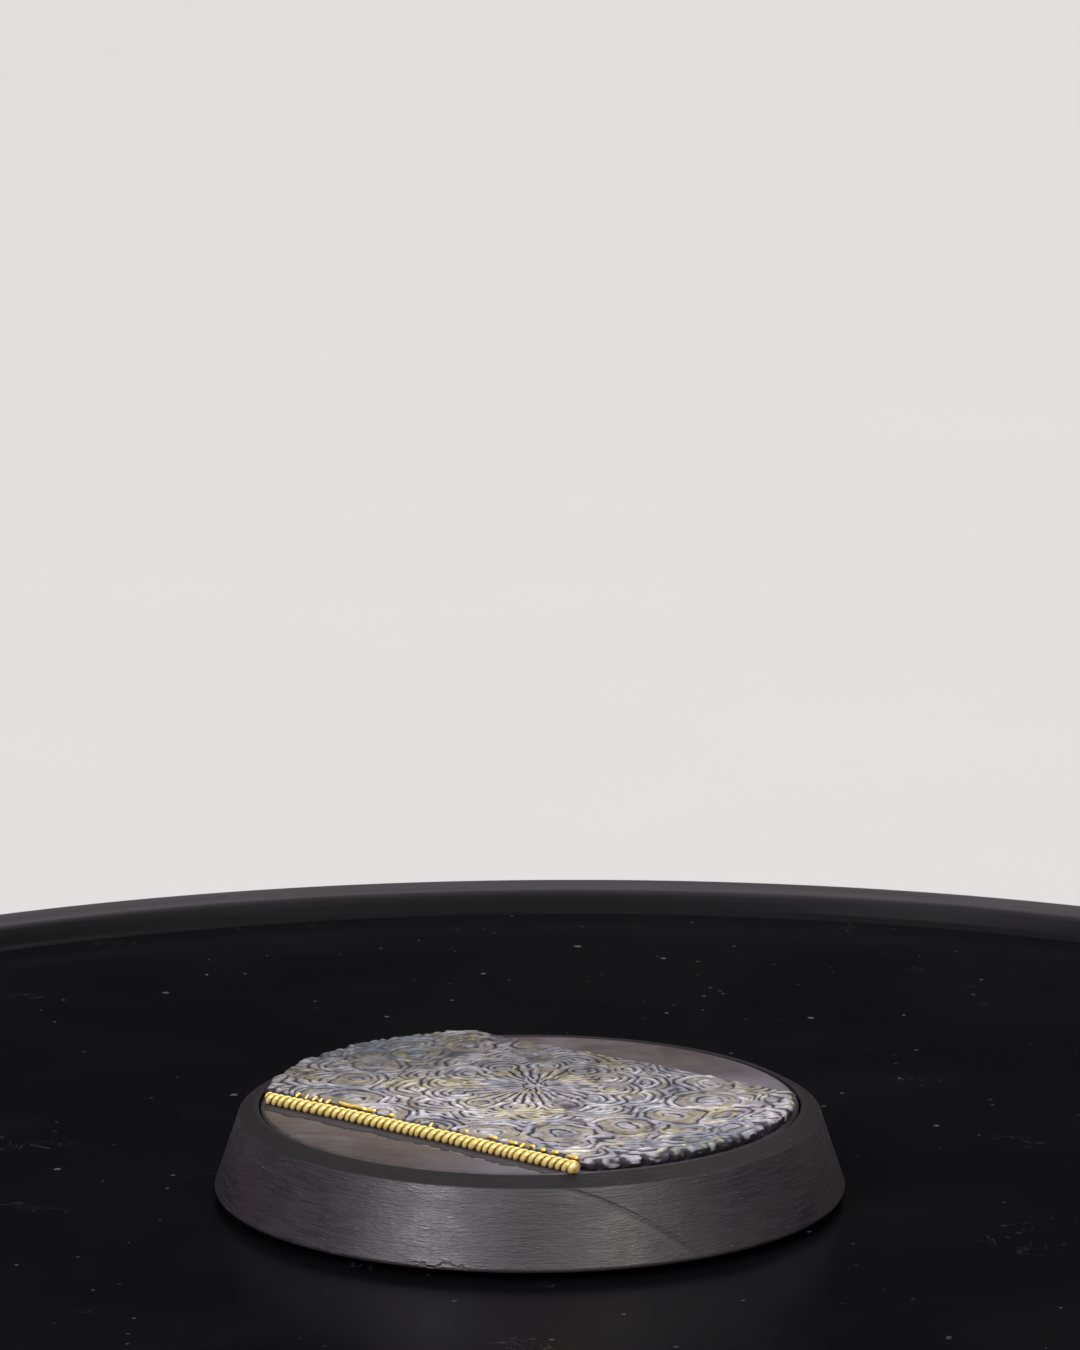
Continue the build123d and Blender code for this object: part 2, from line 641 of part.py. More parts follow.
def motor_front_plate():
    """The motor's mounting plate with two ears and the shaft's bearing collar."""
    ear_r = 4.0
    plate = disc(MOTOR_R, MOTOR_TOP_Z, DECK_LOW_Z, MOTOR_CENTRE)
    across = Pos(MOTOR_CENTRE[0], MOTOR_CENTRE[1], MOTOR_TOP_Z) * Rot(0, 0, MOTOR_OFFSET_BEARING + 90)
    plate += across * Box(2 * MOTOR_EAR_HALF_SPAN, 2 * ear_r, MOTOR_PLATE, align=UPRIGHT)
    plate += disc(MOTOR_COLLAR_R, MOTOR_TOP_Z, DECK_TOP_Z - 0.2, PINION_CENTRE)
    for ear in motor_ears():
        plate += disc(ear_r, MOTOR_TOP_Z, DECK_LOW_Z, ear)
        plate -= disc(MOTOR_SCREW[2] + RUNNING, MOTOR_TOP_Z - CUT, DECK_LOW_Z + CUT, ear)
    return plate - disc(MOTOR_SHAFT_R + RUNNING, MOTOR_TOP_Z - CUT, DECK_TOP_Z, PINION_CENTRE)


def motor_screws():
    fastener = screw(MOTOR_SCREW)
    return group([Pos(x, y, DECK_TOP_Z - MOTOR_SCREW_SINK) * fastener for x, y in motor_ears()])


# ---- Platter ----------------------------------------------------------------------------------------


def platter():
    """The lipped dish with its skirt, ribs, hub and the seats for the upper race and the ring gear."""
    bush_hole_r = BUSH_R + FITTED
    outline = [
        (bush_hole_r, HUB_LOW_Z),
        (HUB_R, HUB_LOW_Z),
        (HUB_R + 1.5, WEB_LOW_Z),
        (PLATTER_R - SKIRT_WALL, WEB_LOW_Z),
        (PLATTER_R - SKIRT_WALL, SKIRT_LOW_Z),
        (PLATTER_R - SKIRT_TAPER, SKIRT_LOW_Z),
        (PLATTER_R, SKIRT_STRAIGHT_Z),
        (PLATTER_R, LIP_TOP_Z),
        (LIP_FOOT_R + LIP_SLOPE, LIP_TOP_Z - LIP_DROP),
        (LIP_FOOT_R, COVER_TOP_Z),
        (COVER_R + GAP, COVER_TOP_Z),
        (COVER_R + GAP, WEB_TOP_Z),
        (HUB_POCKET_R, WEB_TOP_Z),
        (HUB_POCKET_R, BUSH_FLANGE_LOW_Z),
        (bush_hole_r, BUSH_FLANGE_LOW_Z),
    ]
    rounds = [0, 1.0, 2.0, 2.0, 0.6, 0.6, 0, 2.2, 0.9, 0.8, 0, 0, 0, 0, 0]
    body = turned(outline, rounds)
    overlap = 0.5  # how far ribs and seat run into the web and the skirt
    seat_r = BEARING_R + RACE_HALF_WIDTH + 3.0
    seat_inner_r = RING_PITCH_R + 2.0
    half_rib = RIB_THICKNESS / 2
    rib_x = (seat_r - 2.0, PLATTER_R - SKIRT_WALL + overlap)
    rib = block(rib_x, (-half_rib, half_rib), (RIB_LOW_Z, WEB_LOW_Z + overlap))
    for piece in around(rib, RIB_COUNT, RIB_START):
        body += piece
    body += ring(seat_r, seat_inner_r, SEAT_Z, WEB_LOW_Z + overlap)
    screw_hole = disc(RING_SCREW[2] + RUNNING, SEAT_Z, WEB_TOP_Z - 0.6, (RING_SCREW_CIRCLE_R, 0))
    for hole in around(screw_hole, RING_SCREW_COUNT, RING_SCREW_START):
        body -= hole
    return body


def cover_disc():
    """The gloss black acrylic disc that things stand on."""
    cover = disc(COVER_R, WEB_TOP_Z, COVER_TOP_Z)
    return chamfer(cover.edges().sort_by(Axis.Z)[-1], 0.2)


# ---- Control panel ----------------------------------------------------------------------------------


def control_panel():
    """The flat rear panel with a hole for each control."""
    width = (-PANEL_HALF_WIDTH, PANEL_HALF_WIDTH)
    panel = block(width, (PANEL_BACK_Y, PANEL_FRONT_Y), (PANEL_LOW_Z, PANEL_TOP_Z))
    panel = fillet(panel.edges().filter_by(Axis.Y), 1.5)
    low, high = PANEL_BACK_Y - CUT, PANEL_FRONT_Y + CUT
    panel -= peg(JACK_R + RUNNING, low, high, JACK_X)
    panel -= centred_block(ROCKER_X, SWITCH_BODY_WIDTH + 0.1, (low, high), SWITCH_BODY_HEIGHT + 0.1)
    panel -= peg(LED_R + RUNNING, low, high, LED_X)
    panel -= peg(BUTTON_R + 0.08, low, high, BUTTON_X)
    panel -= peg(POT_BUSHING_R + RUNNING, low, high, KNOB_X)
    for side in (-1, 1):
        panel -= peg(PANEL_SCREW_HOLE_R, low, high, side * LEDGE_SCREW_X)
    return panel


def ledge_screws(fastener, y):
    """One screw into each ledge beside the window."""
    return group([Pos(side * LEDGE_SCREW_X, y, CONTROL_Z) * fastener for side in (-1, 1)])


def panel_screws():
    return ledge_screws(Rot(-90, 0, 0) * screw(PANEL_SCREW), PANEL_FRONT_Y)


def board_screws():
    return ledge_screws(Rot(90, 0, 0) * screw(BOARD_SCREW), BOARD_BACK_Y)


def circuit_board():
    """The upright board behind the panel, screwed to the backs of the ledges."""
    half_width, height = 30.8, (8.6, 25.0)
    board = block((-half_width, half_width), (BOARD_BACK_Y, BOARD_FRONT_Y), height)
    for side in (-1, 1):
        board -= peg(PANEL_SCREW_HOLE_R, BOARD_BACK_Y - CUT, BOARD_FRONT_Y + CUT, side * LEDGE_SCREW_X)
    return board


def board_connector():
    """The pin header that the motor leads plug into."""
    half_width, height, edge = 5.0, (13.0, 20.0), 0.5
    body = block((-half_width, half_width), (CONNECTOR_BACK_Y, BOARD_BACK_Y), height)
    return chamfer(body.edges().filter_by(Axis.Y), edge)


def terminal_pins():
    """Solder pins that hold the jack, switch and potentiometer to the board."""
    pin_width = 0.8
    pins = []
    for x, spread in ((JACK_X, 2.5), (ROCKER_X, 3.0), (KNOB_X, 2.5)):
        for side in (-1, 1):
            pin = centred_block(x, pin_width, (BOARD_FRONT_Y, CONTROLS_BACK_Y), pin_width)
            pins.append(Pos(0, 0, side * spread) * pin)
    return group(pins)


def dc_jack():
    """The round power inlet: threaded barrel through the panel, shoulder behind it."""
    mouth_y = PANEL_FRONT_Y + 2.6
    jack = peg(JACK_R, CONTROLS_BACK_Y, mouth_y, JACK_X)
    jack += peg(JACK_SHOULDER_R, SHOULDER_LOW_Y, PANEL_BACK_Y, JACK_X)
    return jack - peg(JACK_SOCKET_R, JACK_SOCKET_LOW_Y, mouth_y + CUT, JACK_X)


def dc_jack_nut():
    across_flats, thickness = 11.0, 1.8
    nut = hexagon_along_y(across_flats, PANEL_FRONT_Y, PANEL_FRONT_Y + thickness, JACK_X)
    return nut - peg(JACK_R + FITTED, PANEL_FRONT_Y - CUT, PANEL_FRONT_Y + thickness + CUT, JACK_X)


def dc_jack_pin():
    """The inlet's round-nosed centre pin."""
    pin_r = 1.0
    pin = peg(pin_r, JACK_SOCKET_LOW_Y, PANEL_FRONT_Y + 1.6, JACK_X)
    return fillet(pin.edges().sort_by(Axis.Y)[-1], pin_r / 2)


ROCKER_AXLE = Pos(ROCKER_X, ROCKER_PIVOT_Y, CONTROL_Z) * Rot(0, 90, 0)


def switch_frame():
    """The rocker switch's bezel and body, open at the front for the rocker."""
    bezel_width, bezel_height, bezel_edge = 10.5, 15.2, 0.4
    bezel = centred_block(ROCKER_X, bezel_width, (PANEL_FRONT_Y, BEZEL_FRONT_Y), bezel_height)
    bezel = chamfer(bezel.faces().sort_by(Axis.Y)[-1].edges(), bezel_edge)
    body = centred_block(ROCKER_X, SWITCH_BODY_WIDTH, (CONTROLS_BACK_Y, PANEL_FRONT_Y), SWITCH_BODY_HEIGHT)
    cavity_height = 2 * ROCKER_R + 0.4
    cavity = centred_block(ROCKER_X, ROCKER_WIDTH + 0.4, (102.0, BEZEL_FRONT_Y + CUT), cavity_height)
    trunnion_holes = Cylinder(TRUNNION_R + RUNNING, TRUNNION_SPAN + 0.1)
    return bezel + body - cavity - ROCKER_AXLE * trunnion_holes


def rocker():
    """The switch's paddle, which rocks about trunnions, resting with its upper half pressed in."""
    back, notch_depth = -1.4, 0.9
    corner = sqrt(ROCKER_R**2 - ROCKER_REACH**2)
    above = ROCKER_R + CUT
    outline = Polyline(
        (back, -above),
        (back, above),
        (ROCKER_REACH, above),
        (ROCKER_REACH, corner),
        (ROCKER_REACH - notch_depth, 0),
        (ROCKER_REACH, -corner),
        (ROCKER_REACH, -above),
        close=True,
    )
    # The sketch's X is the way out of the panel and its Y is up.
    origin = (ROCKER_X - ROCKER_WIDTH, ROCKER_PIVOT_Y, CONTROL_Z)
    side_on = Plane(origin=origin, x_dir=(0, 1, 0), z_dir=(1, 0, 0))
    prism = extrude(side_on * make_face(outline), 2 * ROCKER_WIDTH)
    paddle = ROCKER_AXLE * Cylinder(ROCKER_R, ROCKER_WIDTH) & prism
    paddle += ROCKER_AXLE * Cylinder(TRUNNION_R, TRUNNION_SPAN)
    pivot = Axis((ROCKER_X, ROCKER_PIVOT_Y, CONTROL_Z), (1, 0, 0))
    return paddle.rotate(pivot, ROCKER_TILT)


def led_lens():
    """A clear light pipe from the board's lamp to a dome outside the panel."""
    dome_round, flange_r, flange = 1.1, 2.1, 1.2
    pipe = peg(LED_R, 94.0, PANEL_FRONT_Y + 1.2, LED_X)
    pipe = fillet(pipe.edges().sort_by(Axis.Y)[-1], dome_round)
    return pipe + peg(flange_r, PANEL_BACK_Y - flange, PANEL_BACK_Y, LED_X)


def led_chip():
    return centred_block(LED_X, 2.0, (BOARD_FRONT_Y, 93.7), 1.6)


def tact_switch():
    """The push switch on the board behind the direction button."""
    side, body_front_y, plunger_r = 6.0, PLUNGER_TIP_Y - 1.0, 1.6
    body = centred_block(BUTTON_X, side, (BOARD_FRONT_Y, body_front_y), side)
    return body + peg(plunger_r, body_front_y, PLUNGER_TIP_Y, BUTTON_X)


def button_cap():
    """The direction button, kept in by a collar behind the panel."""
    press_gap, edge_round, collar = 1.7, 0.5, 1.0
    cap = peg(BUTTON_R, PLUNGER_TIP_Y + press_gap, PANEL_FRONT_Y + 2.4, BUTTON_X)
    cap = fillet(cap.edges().sort_by(Axis.Y)[-1], edge_round)
    collar_front_y = PANEL_BACK_Y - 0.1
    return cap + peg(BUTTON_COLLAR_R, collar_front_y - collar, collar_front_y, BUTTON_X)


def pot_body():
    """The speed potentiometer: a square case with a threaded bushing through the panel."""
    width, height, shoulder_r = 10.0, 11.0, 5.0
    bushing_end_y = PANEL_FRONT_Y + 2.2
    case = centred_block(KNOB_X, width, (CONTROLS_BACK_Y, SHOULDER_LOW_Y), height)
    case += peg(POT_BUSHING_R, SHOULDER_LOW_Y, bushing_end_y, KNOB_X)
    case += peg(shoulder_r, SHOULDER_LOW_Y, PANEL_BACK_Y, KNOB_X)
    return case - peg(POT_SHAFT_R + RUNNING, POT_SHAFT_LOW_Y - GAP, bushing_end_y + CUT, KNOB_X)


def pot_nut():
    across_flats, thickness = 9.0, 1.6
    nut = hexagon_along_y(across_flats, PANEL_FRONT_Y, PANEL_FRONT_Y + thickness, KNOB_X)
    hole_r = POT_BUSHING_R + FITTED
    return nut - peg(hole_r, PANEL_FRONT_Y - CUT, PANEL_FRONT_Y + thickness + CUT, KNOB_X)


SHAFT_IN_KNOB = 7.0


def pot_shaft():
    return peg(POT_SHAFT_R, POT_SHAFT_LOW_Y, KNOB_LOW_Y + SHAFT_IN_KNOB, KNOB_X)


def speed_knob():
    """The fluted speed knob, with a raised pointer on its face."""
    edge_round, skirt, flute_r = 0.8, 1.6, 0.8
    face_y = KNOB_LOW_Y + KNOB_LENGTH
    knob = peg(KNOB_R, KNOB_LOW_Y, face_y, KNOB_X)
    knob = fillet(knob.edges().sort_by(Axis.Y)[-1], edge_round)
    flute_circle_r = KNOB_R + 0.45
    for index in range(KNOB_FLUTES):
        x, z = polar(flute_circle_r, 360 * (index + 0.5) / KNOB_FLUTES)
        knob -= peg(flute_r, KNOB_LOW_Y + skirt, face_y + CUT, KNOB_X + x, CONTROL_Z + z)
    knob -= peg(POT_SHAFT_R + FITTED, KNOB_LOW_Y - CUT, KNOB_LOW_Y + SHAFT_IN_KNOB + FITTED, KNOB_X)
    half_width, proud = 0.4, 0.4
    pointer = block((-half_width, half_width), (face_y - 0.5, face_y + proud), (1.5, KNOB_R - 1.2))
    return knob + Pos(KNOB_X, 0, CONTROL_Z) * pointer


# ---- Motor leads ------------------------------------------------------------------------------------


def motor_lead(side):
    """One insulated wire from the can's terminal to the board's connector."""
    beside = side * LEAD_SPACING / 2
    start = (MOTOR_CENTRE[0] + beside, MOTOR_CENTRE[1] + MOTOR_R, 14.0)
    points = [
        start,
        (start[0], start[1] + 14.0, 14.0),
        (beside - 8.0, 30.0, 14.5),
        (beside, 66.0, 16.5),
        (beside, CONNECTOR_BACK_Y, 16.5),
    ]
    radii = []
    for before, corner, after in zip(points, points[1:], points[2:]):
        one, two = Vector(corner) - Vector(before), Vector(after) - Vector(corner)
        turn = radians(one.get_angle(two))
        radii.append(0.45 * min(one.length, two.length) / tan(turn / 2))
    path = FilletPolyline(*points, radius=radii)
    section = Plane(origin=path @ 0, z_dir=path % 0) * Circle(LEAD_R)
    return sweep(section, path)


# ---- Plinth and its insert --------------------------------------------------------------------------


def plinth():
    """The turned display plinth: tapered side, chamfered shoulder and a recess for the insert."""
    recess_r = INSERT_R + 0.2
    outline = [
        (0, PLINTH_LOW_Z),
        (PLINTH_BOTTOM_R, PLINTH_LOW_Z),
        (PLINTH_SHOULDER_R, PLINTH_LOW_Z + PLINTH_SHOULDER),
        (PLINTH_TOP_R, PLINTH_TOP_Z),
        (recess_r, PLINTH_TOP_Z),
        (recess_r, INSERT_LOW_Z),
        (0, INSERT_LOW_Z),
    ]
    return Pos(PLINTH_X, 0, 0) * turned(outline, [0, 0.35, 0.3, 0.15, 0.1, 0, 0])


def plinth_pad():
    """The felt disc under the plinth."""
    return disc(PAD_R, COVER_TOP_Z, PLINTH_LOW_Z, (PLINTH_X, 0))


def insert_disc():
    """The round scenic insert that drops into the plinth."""
    insert = disc(INSERT_R, INSERT_LOW_Z, PLINTH_TOP_Z, (PLINTH_X, 0))
    return chamfer(insert.edges().sort_by(Axis.Z)[-1], 0.2)


def on_insert(shape):
    """Turns a shape from the rug's own axes, X along the rope, onto the insert's top."""
    return Pos(PLINTH_X, 0, PLINTH_TOP_Z) * Rot(0, 0, RUG_ANGLE) * shape


def rug():
    """The sculpted rug, a strip across the insert that ends at the insert's edge."""
    low_y = -(ROPE_DISTANCE - ROPE_R)
    strip = block((-RUG_R, RUG_R), (low_y, RUG_BACK_DISTANCE), (0, RUG_THICKNESS))
    return on_insert(strip & disc(RUG_R, 0, RUG_THICKNESS))


def rope_trim():
    """The rope along the rug's front edge."""
    half = sqrt(INSERT_R**2 - ROPE_DISTANCE**2) - 0.4
    rope = Rot(0, 90, 0) * Cylinder(ROPE_R, 2 * half)
    return on_insert(Pos(0, -ROPE_DISTANCE - RUNNING, ROPE_R) * rope)


# ---- Write every node -------------------------------------------------------------------------------


def nodes():
    """Every node's name and shape."""
    found = {
        "base_shell": base_shell(),
        "base_plate": base_plate(),
        "case_screws": case_screws(),
        "lower_race": race(DECK_TOP_Z),
        "upper_race": race(UPPER_RACE_LOW_Z),
        "ball_cage": ball_cage(),
        "bearing_balls": bearing_balls(),
        "centre_spindle": centre_spindle(),
        "spindle_nut": spindle_nut(),
        "spindle_washer": spindle_washer(),
        "retaining_screw": retaining_screw(),
        "retaining_washer": retaining_washer(),
        "hub_bush": hub_bush(),
        "ring_gear": ring_gear(),
        "ring_gear_screws": ring_gear_screws(),
        "idler_gear": idler_gear(),
        "idler_axle": idler_axle(),
        "idler_clip": idler_clip(),
        "drive_pinion": drive_pinion(),
        "motor_shaft": motor_shaft(),
        "motor_can": motor_can(),
        "motor_front_plate": motor_front_plate(),
        "motor_screws": motor_screws(),
        "motor_lead_red": motor_lead(-1),
        "motor_lead_black": motor_lead(1),
        "platter": platter(),
        "cover_disc": cover_disc(),
        "control_panel": control_panel(),
        "panel_screws": panel_screws(),
        "board_screws": board_screws(),
        "circuit_board": circuit_board(),
        "board_connector": board_connector(),
        "terminal_pins": terminal_pins(),
        "dc_jack": dc_jack(),
        "dc_jack_nut": dc_jack_nut(),
        "dc_jack_pin": dc_jack_pin(),
        "switch_frame": switch_frame(),
        "rocker": rocker(),
        "led_lens": led_lens(),
        "led_chip": led_chip(),
        "tact_switch": tact_switch(),
        "button_cap": button_cap(),
        "pot_body": pot_body(),
        "pot_nut": pot_nut(),
        "pot_shaft": pot_shaft(),
        "speed_knob": speed_knob(),
        "plinth": plinth(),
        "plinth_pad": plinth_pad(),
        "insert_disc": insert_disc(),
        "rug": rug(),
        "rope_trim": rope_trim(),
    }
    for number, placed in enumerate(around(foot(), FOOT_COUNT, FOOT_START), start=1):
        found[f"foot_{number}"] = placed
    return found


os.makedirs("parts", exist_ok=True)
for name, shape in nodes().items():
    export_step(shape, f"parts/{name}.step")
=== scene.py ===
"""Looks of the turntable display stand: its sculpted rug and rope, and a finish for every part."""

from math import cos, pi, radians, sin, tau

import bpy
import numpy as np
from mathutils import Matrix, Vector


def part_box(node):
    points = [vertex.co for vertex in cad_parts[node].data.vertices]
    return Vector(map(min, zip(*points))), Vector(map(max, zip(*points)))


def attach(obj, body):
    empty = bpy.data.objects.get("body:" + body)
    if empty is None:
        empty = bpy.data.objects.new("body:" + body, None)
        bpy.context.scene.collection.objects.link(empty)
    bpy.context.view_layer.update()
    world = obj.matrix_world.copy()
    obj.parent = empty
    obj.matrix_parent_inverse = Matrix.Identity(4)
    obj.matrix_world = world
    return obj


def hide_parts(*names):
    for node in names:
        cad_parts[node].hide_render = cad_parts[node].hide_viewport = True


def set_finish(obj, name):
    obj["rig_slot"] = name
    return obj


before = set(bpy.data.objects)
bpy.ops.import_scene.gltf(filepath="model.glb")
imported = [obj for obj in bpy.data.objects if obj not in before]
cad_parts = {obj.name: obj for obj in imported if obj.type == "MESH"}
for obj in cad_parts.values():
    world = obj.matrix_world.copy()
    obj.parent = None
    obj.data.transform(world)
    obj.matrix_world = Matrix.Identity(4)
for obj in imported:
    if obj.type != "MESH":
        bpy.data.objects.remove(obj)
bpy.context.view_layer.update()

MM = 0.001
scene = bpy.context.scene

# ---- Places, in millimetres ----


def box_mm(node):
    """A CAD node's lowest and highest corners in millimetres."""
    low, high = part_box(node)
    return np.array(low) / MM, np.array(high) / MM


INSERT_LOW, INSERT_HIGH = box_mm("insert_disc")
PLINTH_LOW, PLINTH_HIGH = box_mm("plinth")
RUG_LOW, RUG_HIGH = box_mm("rug")
PLATTER_LOW, PLATTER_HIGH = box_mm("platter")
KNOB_LOW, KNOB_HIGH = box_mm("speed_knob")

INSERT_X = (INSERT_LOW[0] + INSERT_HIGH[0]) / 2
INSERT_Y = (INSERT_LOW[1] + INSERT_HIGH[1]) / 2
INSERT_TOP = INSERT_HIGH[2]
INSERT_R = (INSERT_HIGH[0] - INSERT_LOW[0]) / 2
PLINTH_BOTTOM_R = (PLINTH_HIGH[0] - PLINTH_LOW[0]) / 2
PLATTER_R = (PLATTER_HIGH[0] - PLATTER_LOW[0]) / 2
LIP_CREST_R = PLATTER_R - 2.4  # the highest ring of the platter's rolled lip

# The rug's own axes: U runs along the rope and V away from it, from the insert's centre.
RUG_ANGLE = radians(-38.7)
U_AXIS = np.array([cos(RUG_ANGLE), sin(RUG_ANGLE)])
V_AXIS = np.array([-sin(RUG_ANGLE), cos(RUG_ANGLE)])
RUG_THICKNESS = RUG_HIGH[2] - RUG_LOW[2]
RUG_FRONT_V = -15.5
RUG_BACK_V = 15.2
RUG_R = 24.85
MEDALLION = (-1.03, 1.56)  # the middle of the rug's pattern


def from_rug(u, v, height):
    """A point in the rug's axes and a height over the insert, as metres in the object's frame."""
    x = INSERT_X + u * U_AXIS[0] + v * V_AXIS[0]
    y = INSERT_Y + u * U_AXIS[1] + v * V_AXIS[1]
    return np.stack([x, y, INSERT_TOP + height + 0 * x], -1) * MM


# ---- Steps, noise and ridges ----


def step(low, high, value):
    """A smooth step from 0 at low to 1 at high."""
    t = np.clip((value - low) / (high - low), 0, 1)
    return t * t * (3 - 2 * t)


def mixed(a, b, share):
    """The first value where the share is 0, the second where it is 1."""
    return a * (1 - share) + b * share


def smooth_noise(x, y, cell, seed):
    """Smooth noise from -1 to 1 with features about as large as cell."""
    size = 64
    grid = np.random.default_rng(seed).random((size, size))
    across, along = x / cell + 31.7, y / cell + 17.3
    i, j = np.floor(across).astype(int), np.floor(along).astype(int)
    s, t = step(0, 1, across - i), step(0, 1, along - j)
    near = mixed(grid[i % size, j % size], grid[(i + 1) % size, j % size], s)
    far = mixed(grid[i % size, (j + 1) % size], grid[(i + 1) % size, (j + 1) % size], s)
    return 2 * mixed(near, far, t) - 1


def ridge(turns):
    """Rounded ridges with narrow grooves between them: 1 along a ridge and 0 at each whole turn."""
    return np.abs(np.sin(pi * turns)) ** 0.5


# ---- The rug's pattern ----

# Rings of nested arches, the outermost first: radius of the centres, how many, reach of each centre,
# radius inside which the ring fills everything, ridge pitch, phase, stretch along the ring, and the
# inner and outer reach of its ochre band, if it has one.
RINGS = [
    (23.4, 27, 9.0, 99.0, 0.88, 0.0, 1.25, None),
    (20.2, 23, 3.1, 21.8, 0.82, 0.35, 1.25, (0.6, 1.3)),
    (16.9, 17, 3.15, 18.0, 0.84, 0.0, 1.05, (1.2, 2.4)),
    (10.4, 12, 3.1, 13.3, 0.78, 0.4, 1.15, (2.3, 2.75)),
    (7.5, 12, 3.3, 10.9, 0.76, 0.0, 1.0, None),
]
OCHRE_PITCH = 0.55
OCHRE_FADE = 0.15
PETALS = 18
PETAL_R = 6.4
PETAL_SCALLOP = 0.35
ROSETTE_R = 1.25
ROSETTE_RIDGES = 8
WORN_HEIGHT = 0.7


def arch_ring(index, r, angle, u, v):
    """One ring of nested arches: where it lies, the height of its ridges and its share of ochre."""
    ring_r, count, reach, inner_r, pitch, phase, stretch, band = RINGS[index]
    spacing = tau / count
    turned = angle - (index % 2) * spacing / 2
    local = turned - np.round(turned / spacing) * spacing
    distance = np.hypot(r * np.cos(local) - ring_r, r * np.sin(local) / stretch)
    eye = 0.6 * step(1.0, 0.4, distance)
    arches = mixed(ridge(distance / pitch + phase), 0.85, eye)
    filled = np.zeros_like(r)
    if band:
        inner, outer = band
        filled = step(inner, inner + OCHRE_FADE, distance) * step(outer, outer - OCHRE_FADE, distance)
        filled = filled * step(-0.6, 0.0, smooth_noise(u, v, 2.2, 20 + index))
        arches = mixed(arches, 0.45 + 0.5 * ridge(distance / OCHRE_PITCH), filled)
    return (distance < reach) | (r < inner_r), arches, filled


def rug_pattern(u, v):
    """The height of the rug's relief and its share of ochre, 0 to 1, at points in the rug's axes."""
    # The pattern is hand carved, so its lines sway, more so far from the medallion.
    far = step(10, 20, np.hypot(u - MEDALLION[0], v - MEDALLION[1]))
    sway, shake = 0.3 + 0.7 * far, 0.14 + 0.16 * far
    x = u - MEDALLION[0] + sway * smooth_noise(u, v, 3.1, 1) + shake * smooth_noise(u, v, 0.9, 2)
    y = v - MEDALLION[1] + sway * smooth_noise(u, v, 3.1, 3) + shake * smooth_noise(u, v, 0.9, 4)
    r, angle = np.hypot(x, y), np.arctan2(y, x)
    height, ochre = np.zeros_like(r), np.zeros_like(r)
    for index in range(len(RINGS)):
        here, arches, filled = arch_ring(index, r, angle, u, v)
        height, ochre = np.where(here, arches, height), np.where(here, filled, ochre)

    # The medallion: petals that split in two further out, round a small rosette.
    edge = PETAL_R + PETAL_SCALLOP * np.cos(PETALS * angle)
    petals = mixed(ridge(PETALS * angle / tau), ridge(2 * PETALS * angle / tau), step(2.0, 3.0, r))
    petals = petals * (0.6 + 0.4 * step(0.0, 0.35, edge - r))
    rubbed = 0.3 * step(3.5, 5.0, r) * step(0.0, 0.5, smooth_noise(u, v, 2.2, 9))
    height, ochre = np.where(r < edge, petals, height), np.where(r < edge, rubbed, ochre)
    rosette = ridge(ROSETTE_RIDGES * angle / tau) * step(0.1, 0.5, r) + 0.6 * step(0.5, 0.3, r)
    height = np.where(r < ROSETTE_R, rosette * (0.5 + 0.5 * step(0, 0.25, ROSETTE_R - r)), height)

    # Patches are worn flat, and no ridge is quite as high as the next.
    rubbed_flat = 0.7 * far * step(0.1, 0.9, smooth_noise(u, v, 1.9, 7))
    worn = np.maximum(step(0.4, 0.7, smooth_noise(u, v, 1.3, 6)), rubbed_flat)
    height = mixed(height, WORN_HEIGHT, worn)
    height = height * (0.86 + 0.14 * smooth_noise(u, v, 0.7, 5)) * (0.9 + 0.1 * smooth_noise(u, v, 3.1, 8))
    return np.clip(height, 0, 1), ochre


# ---- Mesh helpers ----


def new_piece(name, points, faces, body, slot, replaced=(), smooth_angle=40):
    """A mesh piece from points in metres, riding on a body and taking its finish from a slot."""
    mesh = bpy.data.meshes.new(name)
    mesh.from_pydata([tuple(p) for p in points], [], faces)
    mesh.validate()
    mesh.shade_smooth()
    mesh.set_sharp_from_angle(angle=radians(smooth_angle))
    piece = bpy.data.objects.new(name, mesh)
    scene.collection.objects.link(piece)
    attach(piece, body)
    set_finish(piece, slot)
    if replaced:
        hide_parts(*replaced)
    return piece


def store(piece, name, values):
    """Keeps one number for each vertex, which the piece's finish reads."""
    layer = piece.data.attributes.new(name, "FLOAT", "POINT")
    layer.data.foreach_set("value", np.asarray(values, np.float32))


def tube(centres, radii, sides):
    """Points and faces of a closed tube along a line of centres; radii may differ round each section."""
    centres = np.asarray(centres, float)
    along = np.gradient(centres, axis=0)
    along /= np.linalg.norm(along, axis=1)[:, None]
    across = np.cross(along, [0.0, 0.0, 1.0])
    across /= np.linalg.norm(across, axis=1)[:, None]
    up = np.cross(across, along)
    around = tau * np.arange(sides) / sides
    spokes = np.cos(around)[None, :, None] * across[:, None] + np.sin(around)[None, :, None] * up[:, None]
    radii = np.broadcast_to(np.asarray(radii).reshape(len(centres), -1), (len(centres), sides))
    points = (centres[:, None] + spokes * radii[:, :, None]).reshape(-1, 3)
    faces = []
    for i in range(len(centres) - 1):
        for j in range(sides):
            k = (j + 1) % sides
            faces.append((i * sides + j, i * sides + k, (i + 1) * sides + k, (i + 1) * sides + j))
    last = (len(centres) - 1) * sides
    faces.append(tuple(range(sides))[::-1])
    faces.append(tuple(range(last, last + sides)))
    return points, faces


def joined(parts):
    """Several (points, faces) as one."""
    points, faces, start = [], [], 0
    for some_points, some_faces in parts:
        points.append(some_points)
        faces += [tuple(start + i for i in face) for face in some_faces]
        start += len(some_points)
    return np.concatenate(points), faces


